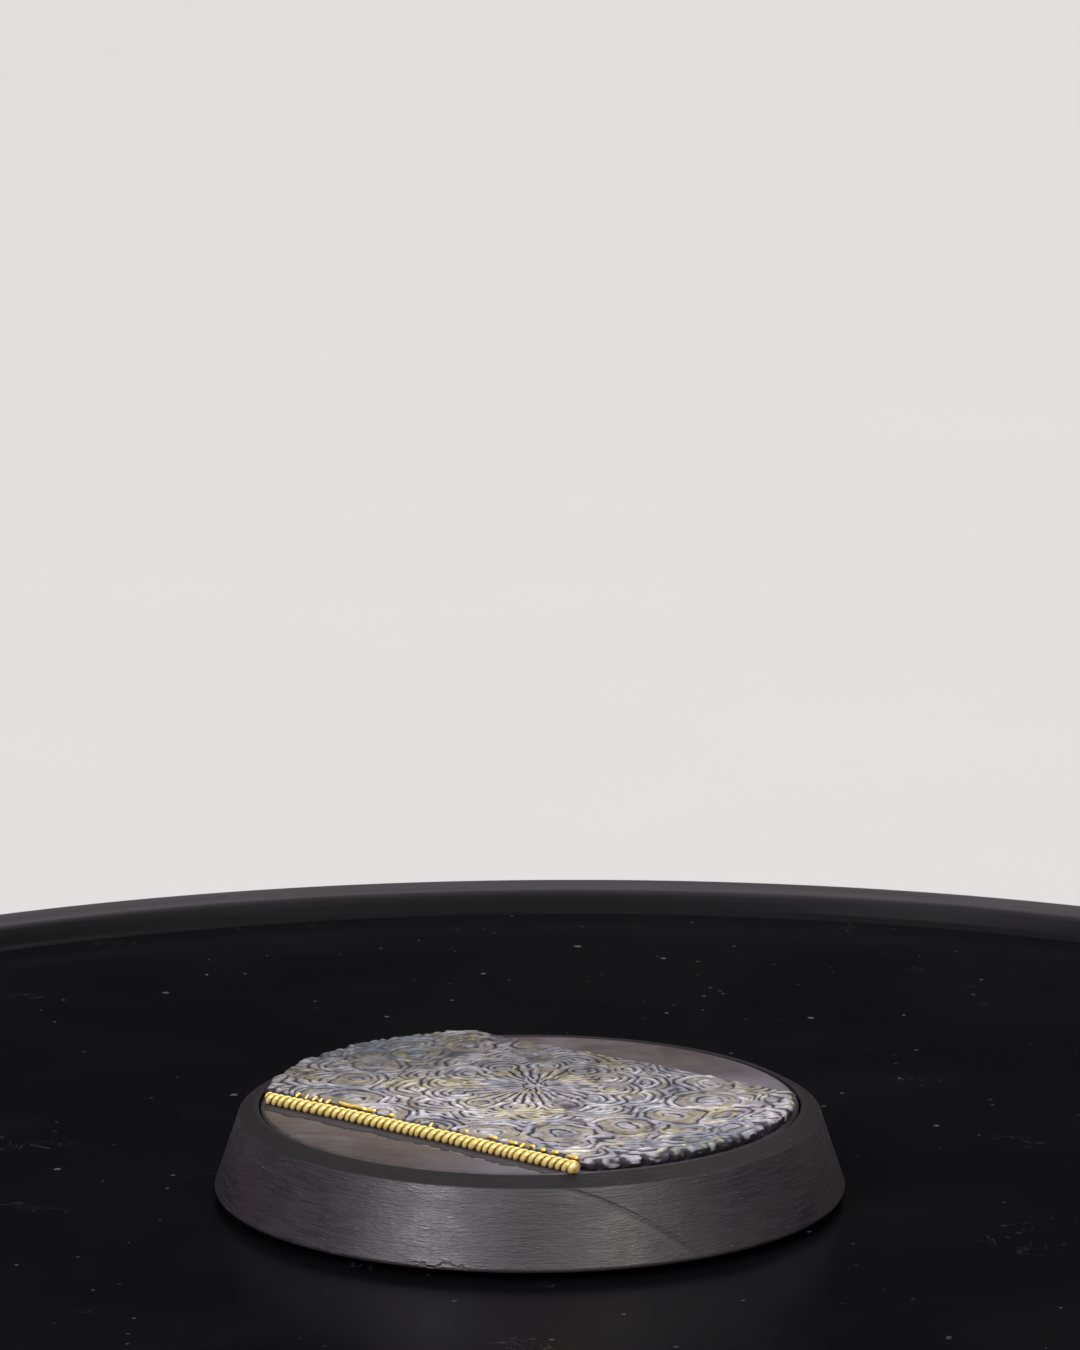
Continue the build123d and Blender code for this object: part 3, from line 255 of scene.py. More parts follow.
def rounded_ends(count, radius, ease):
    """Radii along a tube whose ends close in over a number of steps."""
    steps = np.minimum(np.arange(count), np.arange(count)[::-1])
    share = np.clip((steps + 0.35) / ease, 0, 1)
    return radius * np.sqrt(1 - (1 - share) ** 2)


# ---- Rug ----

RAYS = 640
RING_STEP = 0.137
# Rows of points down the rug's side: height as a share of the rim's, and how far the row bulges out.
WALL_ROWS = ((0.8, 0.05), (0.55, 0.08), (0.3, 0.04), (0.0, -0.04))
FRINGE_DEGREES = (2.0, 104)


def fringe_zone(bearing):
    """1 along the rug's front right edge, where its tassels hang."""
    degrees = (np.degrees(bearing) + 90) % 360
    return step(0, 6, degrees) * step(110, 98, degrees)


def fringe(bearing):
    """The gaps between the tassels on the rug's front right edge, 0 to 1, and how deep each one cuts."""
    degrees = (np.degrees(bearing) + 90) % 360
    rng = np.random.default_rng(11)
    gap, depth = np.zeros_like(degrees), np.full_like(degrees, 0.1)
    start, end = FRINGE_DEGREES
    while start < end:
        width, opening, cut = rng.uniform(1.3, 5.2), rng.uniform(0.6, 2.0), rng.uniform(0.1, 0.8)
        away = np.abs(degrees - start - width - opening / 2)
        here = rng.uniform(0.45, 1.0) * step(opening * 0.8, opening * 0.25, away)
        gap, depth = np.maximum(gap, here), np.maximum(depth, cut * here)
        start += width + opening
    return gap, depth


def worn_edge(bearing):
    """How far the rug's round edge stands in from its full radius, at bearings around the insert."""
    degrees = np.degrees(bearing) % 360
    wavy = 0.25 + 0.14 * np.sin(degrees / 3.1) + 0.12 * np.sin(degrees / 1.37 + 1.0)
    back_left = step(80, 100, degrees) * step(215, 195, degrees)
    return mixed(0.1 + fringe(bearing)[1], wavy, back_left)


def edge_reach(angle):
    """The rug's reach from the middle of its medallion, at angles in the rug's axes."""
    direction = np.array([np.cos(angle), np.sin(angle)])
    reach = np.full_like(angle, 22.0)
    along = MEDALLION[0] * direction[0] + MEDALLION[1] * direction[1]
    from_centre = MEDALLION[0] ** 2 + MEDALLION[1] ** 2
    for _ in range(6):
        u, v = MEDALLION[0] + reach * direction[0], MEDALLION[1] + reach * direction[1]
        radius = RUG_R - worn_edge(np.arctan2(v, u) + RUG_ANGLE)
        reach = -along + np.sqrt(along**2 - from_centre + radius**2)
    u = MEDALLION[0] + reach * direction[0]
    rough = 0.14 * smooth_noise(u, u * 0, 0.7, 31) + 0.1 * smooth_noise(u, u * 0, 2.5, 32)
    with np.errstate(divide="ignore"):
        to_back = np.where(direction[1] > 1e-6, (RUG_BACK_V + rough - MEDALLION[1]) / direction[1], 99)
        to_front = np.where(direction[1] < -1e-6, (RUG_FRONT_V - MEDALLION[1]) / direction[1], 99)
    return np.minimum(reach, np.minimum(to_back, to_front))


def piping_v(u):
    """Where the thin gold piping runs behind the rope."""
    return -14.35 - 0.03 * (u + 17)


def torn_shaded_front(u, v):
    """1 in the sunken, ragged strip between the piping and the rope, and in the nicks that run back from it;
    the paint there is near-black, as painted shade.
    """
    strip = step(0.0, -0.3, v - piping_v(u) + 0.12 * smooth_noise(u, v, 0.5, 33))
    nicks = step(0.45, 0.75, smooth_noise(u, u * 0, 0.55, 34)) * step(0.9, 0.4, v - piping_v(u))
    return np.maximum(strip, nicks)


def rug_grid(angles, reach, counts, start):
    """Points along each ray from the medallion to the rug's edge, and how far each is from the edge."""
    total = 1 + counts.sum()
    u, v, inward = np.full(total, MEDALLION[0]), np.full(total, MEDALLION[1]), np.full(total, reach.max())
    for ray in range(RAYS):
        r = np.minimum(np.arange(1, counts[ray] + 1) * RING_STEP, reach[ray])
        span = slice(start[ray], start[ray] + counts[ray])
        u[span] = MEDALLION[0] + r * cos(angles[ray])
        v[span] = MEDALLION[1] + r * sin(angles[ray])
        inward[span] = reach[ray] - r
    return u, v, inward


def rug_surface(u, v, inward):
    """Each point's height over the insert, and the relief, ochre and shade that its paint follows."""
    relief, ochre = rug_pattern(u, v)
    torn_and_shaded = torn_shaded_front(u, v)
    relief = mixed(relief, 0.3 * step(0, 0.6, smooth_noise(u, v, 0.6, 35)), torn_and_shaded)
    rim = step(0.0, 0.25, inward)
    bearing = np.arctan2(v, u) + RUG_ANGLE
    tasselled = 0.6 * step(0.9, 0.1, inward) * fringe_zone(bearing)
    tassels = 0.58 + 0.3 * smooth_noise(u, v, 0.9, 42) - 0.55 * fringe(bearing)[0]
    relief = mixed(relief, tassels, tasselled)
    swell = 0.05 * smooth_noise(u, v, 6.0, 41)
    carved = 0.36 * relief * (0.5 + 0.5 * rim)
    height = RUG_THICKNESS - 0.40 + carved - 0.12 * (1 - rim) - 0.3 * torn_and_shaded + swell
    painted = relief * (1 - 0.6 * (1 - rim) * (tasselled == 0))
    return height, painted, ochre, torn_and_shaded


def rug_top_faces(start, counts):
    """Faces between neighbouring rays, which may differ in how many points they have."""
    faces = []
    for ray in range(RAYS):
        after = (ray + 1) % RAYS
        a, b, na, nb = start[ray], start[after], counts[ray], counts[after]
        faces.append((0, a, b))
        for k in range(max(na, nb) - 1):
            on_ray = [a + min(k, na - 1), a + min(k + 1, na - 1)]
            on_next = [b + min(k + 1, nb - 1), b + min(k, nb - 1)]
            corners = list(dict.fromkeys(int(c) for c in on_ray + on_next))
            if len(corners) > 2:
                faces.append(tuple(corners))
    return faces


def rug_wall(angles, edge_u, edge_v, edge_height):
    """Rows of points down the rug's side, and the relief of each row."""
    bearing = np.arctan2(edge_v, edge_u) + RUG_ANGLE
    degrees, gap = np.degrees(bearing), fringe(bearing)[0]
    hang = 0.72 + 0.35 * smooth_noise(degrees, 0 * degrees, 3.0, 51)
    rows, relief = [], []
    for share, bulge in WALL_ROWS:
        lean = bulge * (1 - gap) + 0.03 * smooth_noise(degrees, 0 * degrees, 1.0, 52)
        u, v = edge_u + lean * np.cos(angles), edge_v + lean * np.sin(angles)
        rows.append(from_rug(u, v, edge_height * share))
        patchy = 0.45 + 0.35 * smooth_noise(degrees, 0 * degrees + 3 * share, 1.7, 53)
        relief.append((1 - gap) * patchy * step(-0.15, 0.15, share - 1 + hang))
    return rows, relief


def build_rug():
    """The rug as a closed relief, meshed in rings about its medallion so that the ridges stay crisp."""
    angles = tau * np.arange(RAYS) / RAYS
    reach = edge_reach(angles)
    counts = np.ceil(reach / RING_STEP).astype(int)
    start = np.concatenate([[1], 1 + np.cumsum(counts)])[:-1]
    u, v, inward = rug_grid(angles, reach, counts, start)
    height, relief, ochre, torn_and_shaded = rug_surface(u, v, inward)
    rim = start + counts - 1
    rows, wall_relief = rug_wall(angles, u[rim], v[rim], height[rim])

    faces = rug_top_faces(start, counts)
    loops, bottom = [rim.tolist()], len(u)
    for _ in rows:
        loops.append(list(range(bottom, bottom + RAYS)))
        bottom += RAYS
    for upper, lower in zip(loops, loops[1:]):
        for ray in range(RAYS):
            after = (ray + 1) % RAYS
            faces.append((upper[ray], lower[ray], lower[after], upper[after]))
    for ray in range(RAYS):
        faces.append((loops[-1][ray], bottom, loops[-1][(ray + 1) % RAYS]))

    middle = from_rug(np.array([MEDALLION[0]]), np.array([MEDALLION[1]]), np.array([0.0]))
    points = np.concatenate([from_rug(u, v, height), *rows, middle])
    rug = new_piece("rug_relief", points, faces, "insert", "rug_paint", ["rug"], 75)
    wall = len(rows) * RAYS + 1
    store(rug, "relief", np.concatenate([relief, *wall_relief, [0.0]]))
    store(rug, "ochre", np.concatenate([ochre, np.zeros(wall)]))
    # Painted shade: the sunken front strip is near-black, and the rug's side a little darker.
    store(rug, "shade", np.concatenate([torn_and_shaded, np.full(wall, 0.2)]))
    return rug


# ---- Rope, piping and the dark border in front of the rope ----

ROPE_R = 0.60
ROPE_VALLEY_R = 0.38
ROPE_TURN = 0.80
ROPE_STARTS = 2
ROPE_ENDS = (-18.6, 19.1)
ROPE_SIDES = 28


def rope_line(u):
    """The slightly bowed line that the rope lies along."""
    return -16.1 - 0.5 * (u / 18) - 0.3 * (u / 18) ** 2 + 0.04 * np.sin(u / 1.9)


def build_rope():
    """A tightly laid cord: rounded turns with sharp valleys, each its own size, and a melted right end."""
    u = np.arange(ROPE_ENDS[0], ROPE_ENDS[1], 0.05)
    side = tau * np.arange(ROPE_SIDES) / ROPE_SIDES
    drift = 0.25 * smooth_noise(u, u * 0, 2.3, 60) + 0.12 * smooth_noise(u, u * 0, 0.9, 61)
    turns = ((u + drift) / ROPE_TURN)[:, None] - ROPE_STARTS * side[None, :] / tau
    crest = np.abs(np.sin(pi * turns)) ** 0.6
    uneven = 1 + 0.10 * smooth_noise(np.floor(turns), 0 * turns, 1.0, 62)
    melted = step(ROPE_ENDS[1] - 1.3, ROPE_ENDS[1] - 0.4, u)[:, None]
    crest = crest * (1 - 0.5 * melted) + 0.45 * melted
    radii = (ROPE_VALLEY_R + (ROPE_R - ROPE_VALLEY_R) * crest * uneven) * (1 + 0.08 * melted)
    radii = radii * rounded_ends(len(u), 1.0, 8)[:, None]
    centres = from_rug(u, rope_line(u), np.full_like(u, ROPE_R - 0.02))
    points, faces = tube(centres, radii * MM, ROPE_SIDES)
    rope = new_piece("rope_strands", points, faces, "insert", "rope_gold", ["rope_trim"], 80)
    store(rope, "crest", crest.ravel())
    return rope


# The broken piping: where each stretch starts and ends along the rope, and its sideways shift.
PIPING = [
    (-10.9, -6.3, 0.0),
    (-4.7, -4.0, 0.0),
    (4.3, 4.9, 0.1),
    (7.4, 8.4, 0.0),
    (9.8, 10.9, -0.1),
    (12.1, 12.8, 0.1),
    (13.5, 14.2, -0.1),
    (14.8, 15.7, -0.1),
    (16.9, 18.2, -0.4),
]
STITCHES = [-15.9, -14.8, -13.8, -13.0, -12.1, 0.6, 11.5]
PIPING_R = 0.21
PIPING_SIDES = 10
STITCH_R = 0.2
STITCH_REACH = 0.32


def build_piping():
    """Short lengths of thin gold cord along the rug's front, and gold stitches where it has worn away."""
    parts, painted_top_light = [], []

    def add(u, v, height, radius):
        radii = rounded_ends(len(u), radius, 3) * (1 + 0.15 * smooth_noise(u + v, u * 0, 0.3, 81))
        parts.append(tube(from_rug(u, v, height), radii * MM, PIPING_SIDES))
        # The cord's upper side is painted paler, as a painted highlight, and its underside darker, as painted
        # shade.
        upward = np.sin(tau * np.arange(PIPING_SIDES) / PIPING_SIDES)
        painted_top_light.append(np.tile(0.3 + 0.6 * step(-0.5, 0.9, upward), len(u)))

    for index, (start, end, shift) in enumerate(PIPING):
        u = np.linspace(start, end, max(7, int((end - start) / 0.09)))
        v = piping_v(u) + shift + 0.07 * smooth_noise(u, u * 0, 0.8, 80 + index)
        add(u, v, RUG_THICKNESS - 0.17 + 0.05 * smooth_noise(u, u * 0, 0.5, 99), PIPING_R)
    for index, middle in enumerate(STITCHES):
        t = np.linspace(-1, 1, 9)
        u = middle + 0.08 * t * (-1) ** index
        v = piping_v(u) + STITCH_REACH * t - 0.1
        add(u, v, RUG_THICKNESS - 0.19 - 0.15 * step(0.2, -1.0, t), STITCH_R)
    points, faces = joined(parts)
    piping = new_piece("rug_piping", points, faces, "insert", "rope_gold", (), 80)
    store(piping, "crest", np.concatenate(painted_top_light))
    return piping


def build_border():
    """The thin dark strip under the rope, with a ragged front edge, that the rug is bonded to; its near-black
    paint is partly painted shade in front of the rope.
    """
    u = np.arange(-18.3, 18.5, 0.12)
    width = 1.65 + 0.35 * smooth_noise(u, u * 0, 1.6, 90) + 0.12 * smooth_noise(u, u * 0, 0.4, 91)
    limit = -np.sqrt((INSERT_R - 0.3) ** 2 - u**2)
    back = rope_line(u) + 0.3
    front = np.minimum(np.maximum(rope_line(u) - 0.3 - width, limit), back - 0.05)
    lit = 0.6 * step(-4, 2, u) * step(-0.5, 0.1, smooth_noise(u, u * 0, 1.1, 92))
    # Painted shade: near-black where the rope covers the strip and darker along its front edge, with a
    # painted highlight along that edge on the right.
    covered, edge = (0 * u, 0 * u + 0.9), (lit, 0.5 - 0.6 * lit)
    # Each row's place, height, and the relief and shade of its paint.
    rows = [
        (back, 0.02, *covered),
        (back, 0.12, *covered),
        (front + 0.14, 0.10, *covered),
        (front, 0.04, *edge),
        (front, 0.0, *edge),
    ]
    points = np.concatenate([from_rug(u, row[0], np.full_like(u, row[1])) for row in rows])
    count, faces = len(u), []
    for row in range(len(rows)):
        after = (row + 1) % len(rows)
        for i in range(count - 1):
            faces.append((row * count + i, row * count + i + 1, after * count + i + 1, after * count + i))
    faces.append(tuple(row * count for row in range(len(rows))))
    faces.append(tuple(row * count + count - 1 for row in range(len(rows)))[::-1])
    border = new_piece("rug_border", points, faces, "insert", "rug_paint", (), 50)
    store(border, "relief", np.concatenate([row[2] for row in rows]))
    store(border, "ochre", np.zeros(len(points)))
    store(border, "shade", np.concatenate([row[3] for row in rows]))
    return border


# ---- Material nodes ----

FINISHES = {}  # the material of each of the record's slots, by the slot's name


class Finish:
    """A slot's procedural material being put together, in the part's own coordinates in millimetres."""

    def __init__(self, slot):
        self.material = bpy.data.materials.new(slot)
        FINISHES[slot] = self.material
        self.material.use_nodes = True
        tree = self.material.node_tree
        self.nodes, self.links = tree.nodes, tree.links
        self.shader = self.nodes["Principled BSDF"]
        metres = self.nodes.new("ShaderNodeTexCoord").outputs["Object"]
        self.place = self.node("VectorMath", {0: metres, "Scale": 1 / MM}, operation="SCALE")

    def put(self, socket, value):
        """Links a socket, or sets its own value."""
        if isinstance(value, bpy.types.NodeSocket):
            self.links.new(value, socket)
        elif hasattr(value, "__len__") and len(socket.default_value) == 4:
            socket.default_value = (*value[:3], 1)
        else:
            socket.default_value = value

    def node(self, kind, inputs, output=0, **settings):
        """A new node's output, with its inputs given by name or number."""
        made = self.nodes.new("ShaderNode" + kind)
        for name, value in settings.items():
            setattr(made, name, value)
        for key, value in inputs.items():
            self.put(made.inputs[key], value)
        return made.outputs[output]

    def math(self, operation, a, b=0.0, c=0.0):
        return self.node("Math", {0: a, 1: b, 2: c}, operation=operation)

    def stretched(self, x, y, z, place=None):
        """Coordinates multiplied along each axis: a large number makes fine detail along it."""
        return self.node("VectorMath", {0: place or self.place, 1: (x, y, z)}, operation="MULTIPLY")

    def noise(self, scale, detail=3.0, place=None, roughness=0.55, distortion=0.0):
        inputs = {"Vector": place or self.place, "Scale": scale, "Detail": detail}
        inputs.update({"Roughness": roughness, "Distortion": distortion})
        return self.node("TexNoise", inputs, output="Fac")

    def cells(self, scale, output="Distance", place=None):
        return self.node("TexVoronoi", {"Vector": place or self.place, "Scale": scale}, output=output)

    def between(self, value, low, high, to_low=0.0, to_high=1.0):
        """A smooth change from one value to another as an input goes from low to high."""
        inputs = {0: value, 1: low, 2: high, 3: to_low, 4: to_high}
        return self.node("MapRange", inputs, interpolation_type="SMOOTHSTEP")

    def mix(self, share, a, b):
        return self.node("Mix", {0: share, 6: a, 7: b}, output=2, data_type="RGBA")

    def scaled(self, colour, share):
        return self.node("VectorMath", {0: colour, "Scale": share}, operation="SCALE")

    def fold(self, operation, values):
        """The values joined one after another by an operation."""
        found = values[0]
        for value in values[1:]:
            found = self.math(operation, found, value)
        return found

    def times(self, *values):
        return self.fold("MULTIPLY", values)

    def add(self, *values):
        return self.fold("ADD", values)

    def largest(self, *values):
        return self.fold("MAXIMUM", values)

    def less(self, a, b):
        return self.math("SUBTRACT", a, b)

    def apart(self, a, b=0.0):
        """How far two values differ."""
        return self.math("ABSOLUTE", self.less(a, b))

    def length(self, x, y):
        """The length of a flat vector."""
        return self.math("SQRT", self.add(self.times(x, x), self.times(y, y)))

    def split(self, vector=None):
        """The X, Y and Z of a vector."""
        made = self.nodes.new("ShaderNodeSeparateXYZ")
        self.put(made.inputs[0], vector or self.place)
        return made.outputs

    def around(self, x=0.0, y=0.0):
        """Distance from an upright axis, angle about it in radians, and height."""
        at = self.node("VectorMath", {0: self.place, 1: (x, y, 0)}, operation="SUBTRACT")
        axes = self.split(at)
        return self.length(axes[0], axes[1]), self.math("ARCTAN2", axes[1], axes[0]), axes[2]

    def vector(self, x, y, z):
        return self.node("CombineXYZ", {0: x, 1: y, 2: z})

    def attribute(self, name):
        return self.node("Attribute", {}, output="Fac", attribute_name=name)

    def edges(self, width):
        """1 along the part's edges, over about a width in millimetres, and 0 on its faces."""
        soft = self.node("Bevel", {"Radius": width * MM}, samples=4)
        plain = self.nodes.new("ShaderNodeNewGeometry").outputs["Normal"]
        facing = self.node("VectorMath", {0: soft, 1: plain}, output="Value", operation="DOT_PRODUCT")
        return self.between(facing, 0.985, 0.8)

    def facing_up(self, low, high):
        """1 where the surface faces up."""
        normal = self.nodes.new("ShaderNodeNewGeometry").outputs["Normal"]
        return self.between(self.split(normal)[2], low, high)

    def bump(self, height, depth, normal=None):
        """A normal from a height of 0 to 1 that stands for a depth in millimetres."""
        inputs = {"Height": height, "Distance": depth * MM}
        if normal is not None:
            inputs["Normal"] = normal
        return self.node("Bump", inputs)

    def done(self, colour, roughness, normal=None, **constants):
        self.put(self.shader.inputs["Base Color"], colour)
        self.put(self.shader.inputs["Roughness"], roughness)
        if normal is not None:
            self.put(self.shader.inputs["Normal"], normal)
        for name, value in constants.items():
            self.shader.inputs[name.replace("_", " ")].default_value = value
        return self.material


def lighter(colour, share):
    """A colour made lighter, or darker with a share under 1."""
    return tuple(min(1.0, c * share) for c in colour)


# ---- Plastics and rubber ----

PRINT_TONE = (0.62, 0.61, 0.58)
DUST_TONE = (0.16, 0.15, 0.14)


def moulded(slot, colour, roughness, grain=0.02, grain_size=0.22, rub=1.9, printed=None):
    """Moulded plastic: spark-eroded grain, flow marks, rubbed edges, hairline scuffs and any print."""
    f = Finish(slot)
    cloud = f.noise(0.045, 4)
    flow = f.noise(0.35, 2, f.stretched(1, 1, 0.25), distortion=0.6)
    tone = f.mix(f.between(cloud, 0.3, 0.7), lighter(colour, 0.82), lighter(colour, 1.18))
    fine = f.noise(1 / grain_size, 3)
    tone = f.mix(f.times(f.between(fine, 0.35, 0.75), 0.25), tone, lighter(colour, rub))
    scuff = f.noise(0.9, 2, f.stretched(0.12, 1.0, 2.6), distortion=0.4)
    scuff = f.times(f.between(scuff, 0.66, 0.74), f.between(cloud, 0.5, 0.62))
    edge = f.times(f.edges(0.35), f.between(f.noise(0.6, 3), 0.38, 0.62, 0.25, 1.0))
    worn = f.largest(f.times(edge, 0.7), f.times(scuff, 0.35))
    tone = f.mix(worn, tone, lighter(colour, 1 + 2.2 * (rub - 1)))
    if printed:
        ink = f.times(printed(f), f.between(f.noise(2.5, 3), 0.3, 0.45, 0.7, 1.0))
        tone = f.mix(ink, tone, PRINT_TONE)
    shine = f.add(f.between(cloud, 0.3, 0.7, roughness - 0.05, roughness + 0.05), f.times(edge, -0.12))
    shine = f.add(shine, f.times(f.between(flow, 0.3, 0.7), 0.05))
    return f.done(tone, shine, f.bump(fine, grain, f.bump(flow, 0.012)))


def rubber(slot, colour):
    """Moulded rubber with a dusty bloom and a slightly open skin."""
    f = Finish(slot)
    bloom = f.between(f.noise(0.12, 5), 0.35, 0.7)
    pores = f.cells(3.2)
    tone = f.mix(bloom, colour, lighter(colour, 2.1))
    dust = f.times(f.between(f.noise(2.2, 4), 0.58, 0.7), 0.35)
    tone = f.mix(dust, tone, DUST_TONE)
    normal = f.bump(pores, 0.03, f.bump(f.noise(6, 3), 0.02))
    return f.done(tone, f.between(bloom, 0, 1, 0.68, 0.88), normal)


def insulation(slot, colour):
    """Soft PVC insulation, glossier where it has been pressed, with faint drawing lines along it."""
    f = Finish(slot)
    cloud = f.noise(0.35, 3)
    tone = f.mix(f.between(cloud, 0.3, 0.7), lighter(colour, 0.75), lighter(colour, 1.15))
    lines = f.noise(3.0, 2, f.stretched(2.5, 0.15, 2.5))
    return f.done(tone, f.between(cloud, 0.3, 0.7, 0.32, 0.48), f.bump(lines, 0.015))


# ---- Metals ----


def metal(slot, colour, roughness, across=(1.0, 1.0, 14.0), nicks=0.02, tarnish=0.35):
    """Turned, ground or plated metal: fine tool lines, cloudy tarnish, bright edges and small nicks."""
    f = Finish(slot)
    lines = f.noise(1.6, 3, f.stretched(*across))
    cloud = f.noise(0.16, 4)
    spots = f.between(f.noise(1.3, 4), 0.6, 0.74)
    tone = f.mix(f.between(cloud, 0.3, 0.7), lighter(colour, 1 - tarnish), lighter(colour, 1.05))
    tone = f.mix(f.times(spots, tarnish), tone, lighter(colour, 0.35))
    tone = f.mix(f.times(f.edges(0.15), 0.6), tone, lighter(colour, 1.5))
    shine = f.between(lines, 0.25, 0.75, roughness - 0.07, roughness + 0.1)
    shine = f.add(shine, f.times(spots, 0.15))
    dents = f.bump(f.between(f.cells(0.8), 0.0, 0.12), nicks)
    return f.done(tone, shine, f.bump(lines, 0.012, dents), Metallic=1.0)


# ---- Finishes of single parts ----


def specks(f, spacing, size, share, seed):
    """Irregular dust specks: a cell every so many millimetres, and a share of them hold a speck."""
    wobble = f.node("TexNoise", {"Vector": f.place, "Scale": 1.1 / size, "Detail": 2.0}, output="Color")
    wobble = f.scaled(wobble, 0.8 * size)
    place = f.node("VectorMath", {0: f.place, 1: wobble}, operation="ADD")
    place = f.node("VectorMath", {0: place, 1: (seed * 7.3, seed * 3.1, 0)}, operation="ADD")
    chance = f.split(f.cells(1 / spacing, "Color", place))[0]
    reach = f.between(chance, 1 - share, 1.0, 0.0, size / spacing)
    inside = f.less(reach, f.cells(1 / spacing, "Distance", place))
    return f.between(inside, 0.0, 0.3 * size / spacing)


def platter_finish():
    """Satin black moulding: its rolled lip finely ringed, with a painted highlight along the crest and rubbed
    edges outside it, and painted shade inside.
    """
    black, grey, inner_shade_black = (0.014, 0.0135, 0.0145), (0.052, 0.047, 0.049), (0.0040, 0.0040, 0.0045)
    crest_highlight_grey, rubbed_grey, dust_grey = (0.063, 0.055, 0.061), (0.12, 0.115, 0.115), (0.3, 0.29, 0.28)
    f = Finish("platter_plastic")
    radius, angle, height = f.around()
    rings = f.noise(1.0, 3, f.vector(f.times(radius, 9.0), f.times(angle, 5.0), f.times(height, 9.0)))
    cloud = f.noise(0.05, 4)
    haze = f.noise(0.5, 4, f.vector(f.times(radius, 1.4), f.times(angle, 9.0), height))
    tone = f.mix(f.times(f.between(rings, 0.35, 0.75), 0.4), black, grey)
    tone = f.mix(f.times(f.between(haze, 0.45, 0.75), 0.35), tone, grey)
    # Painted highlight: a paler band along the lip's crest where it faces up.
    crest = f.between(f.apart(radius, LIP_CREST_R - 1.7), 3.9, 2.0)
    crest = f.times(crest, f.facing_up(0.2, 0.6), f.between(haze, 0.3, 0.6, 0.7, 1.0))
    tone = f.mix(f.times(crest, 0.9), tone, crest_highlight_grey)
    edge = f.times(f.edges(0.5), f.between(f.noise(0.35, 3), 0.35, 0.65, 0.4, 1.0))
    outside = f.between(radius, LIP_CREST_R - 0.5, LIP_CREST_R + 1.0)
    tone = f.mix(f.times(edge, outside, 0.5), tone, rubbed_grey)
    # Painted shade: the lip's inner slope and the floor inside it are painted darker.
    inside = f.between(radius, LIP_CREST_R - 3.4, LIP_CREST_R - 4.9)
    tone = f.mix(f.times(inside, 0.92), tone, inner_shade_black)
    dust = f.times(specks(f, 3.0, 0.16, 0.35, 4), f.facing_up(0.3, 0.9), f.between(cloud, 0.4, 0.6, 0.3, 1.0))
    tone = f.mix(f.times(dust, 0.5), tone, dust_grey)
    shine = f.add(f.between(haze, 0.3, 0.7, 0.45, 0.55), f.times(edge, -0.05), f.times(dust, 0.3))
    f.put(f.shader.inputs["Specular IOR Level"], f.between(outside, 0, 1, 0.06, 0.4))
    normal = f.bump(rings, 0.014, f.bump(f.noise(0.08, 2), 0.05))
    return f.done(tone, shine, normal)


def cover_finish():
    """Gloss black acrylic with dust specks of three sizes, a few curled fibres and a faint wiped haze."""
    black, hazed_black, dust_grey = (0.0030, 0.0030, 0.0036), (0.0044, 0.0042, 0.0047), (0.42, 0.39, 0.37)
    f = Finish("cover_gloss")
    haze = f.noise(0.035, 5, distortion=0.8)
    wipe = f.noise(0.25, 3, f.stretched(0.6, 1.4, 1.0), distortion=1.0)
    large = f.times(specks(f, 15.0, 0.60, 0.4, 1), 0.65)
    small = f.times(specks(f, 5.0, 0.48, 0.4, 2), 0.25)
    fine = f.times(specks(f, 2.1, 0.28, 0.5, 3), f.between(haze, 0.42, 0.6, 0.3, 1.0), 0.16)
    curls = f.between(f.apart(f.noise(0.30, 1, distortion=1.4), 0.5), 0.008, 0.002)
    fibre = f.times(curls, f.between(f.noise(0.085, 1), 0.70, 0.72), 0.1)
    dust = f.largest(large, small, fine, fibre)
    tone = f.mix(f.between(haze, 0.4, 0.7), black, hazed_black)
    tone = f.mix(f.times(dust, 0.8), tone, dust_grey)
    shine = f.between(haze, 0.35, 0.7, 0.20, 0.225)
    shine = f.add(shine, f.times(f.between(wipe, 0.5, 0.75), 0.015), f.times(dust, 0.6))
    normal = f.bump(f.times(dust, 0.8), 0.05, f.bump(haze, 0.005))
    return f.done(tone, shine, normal, Specular_IOR_Level=0.08)


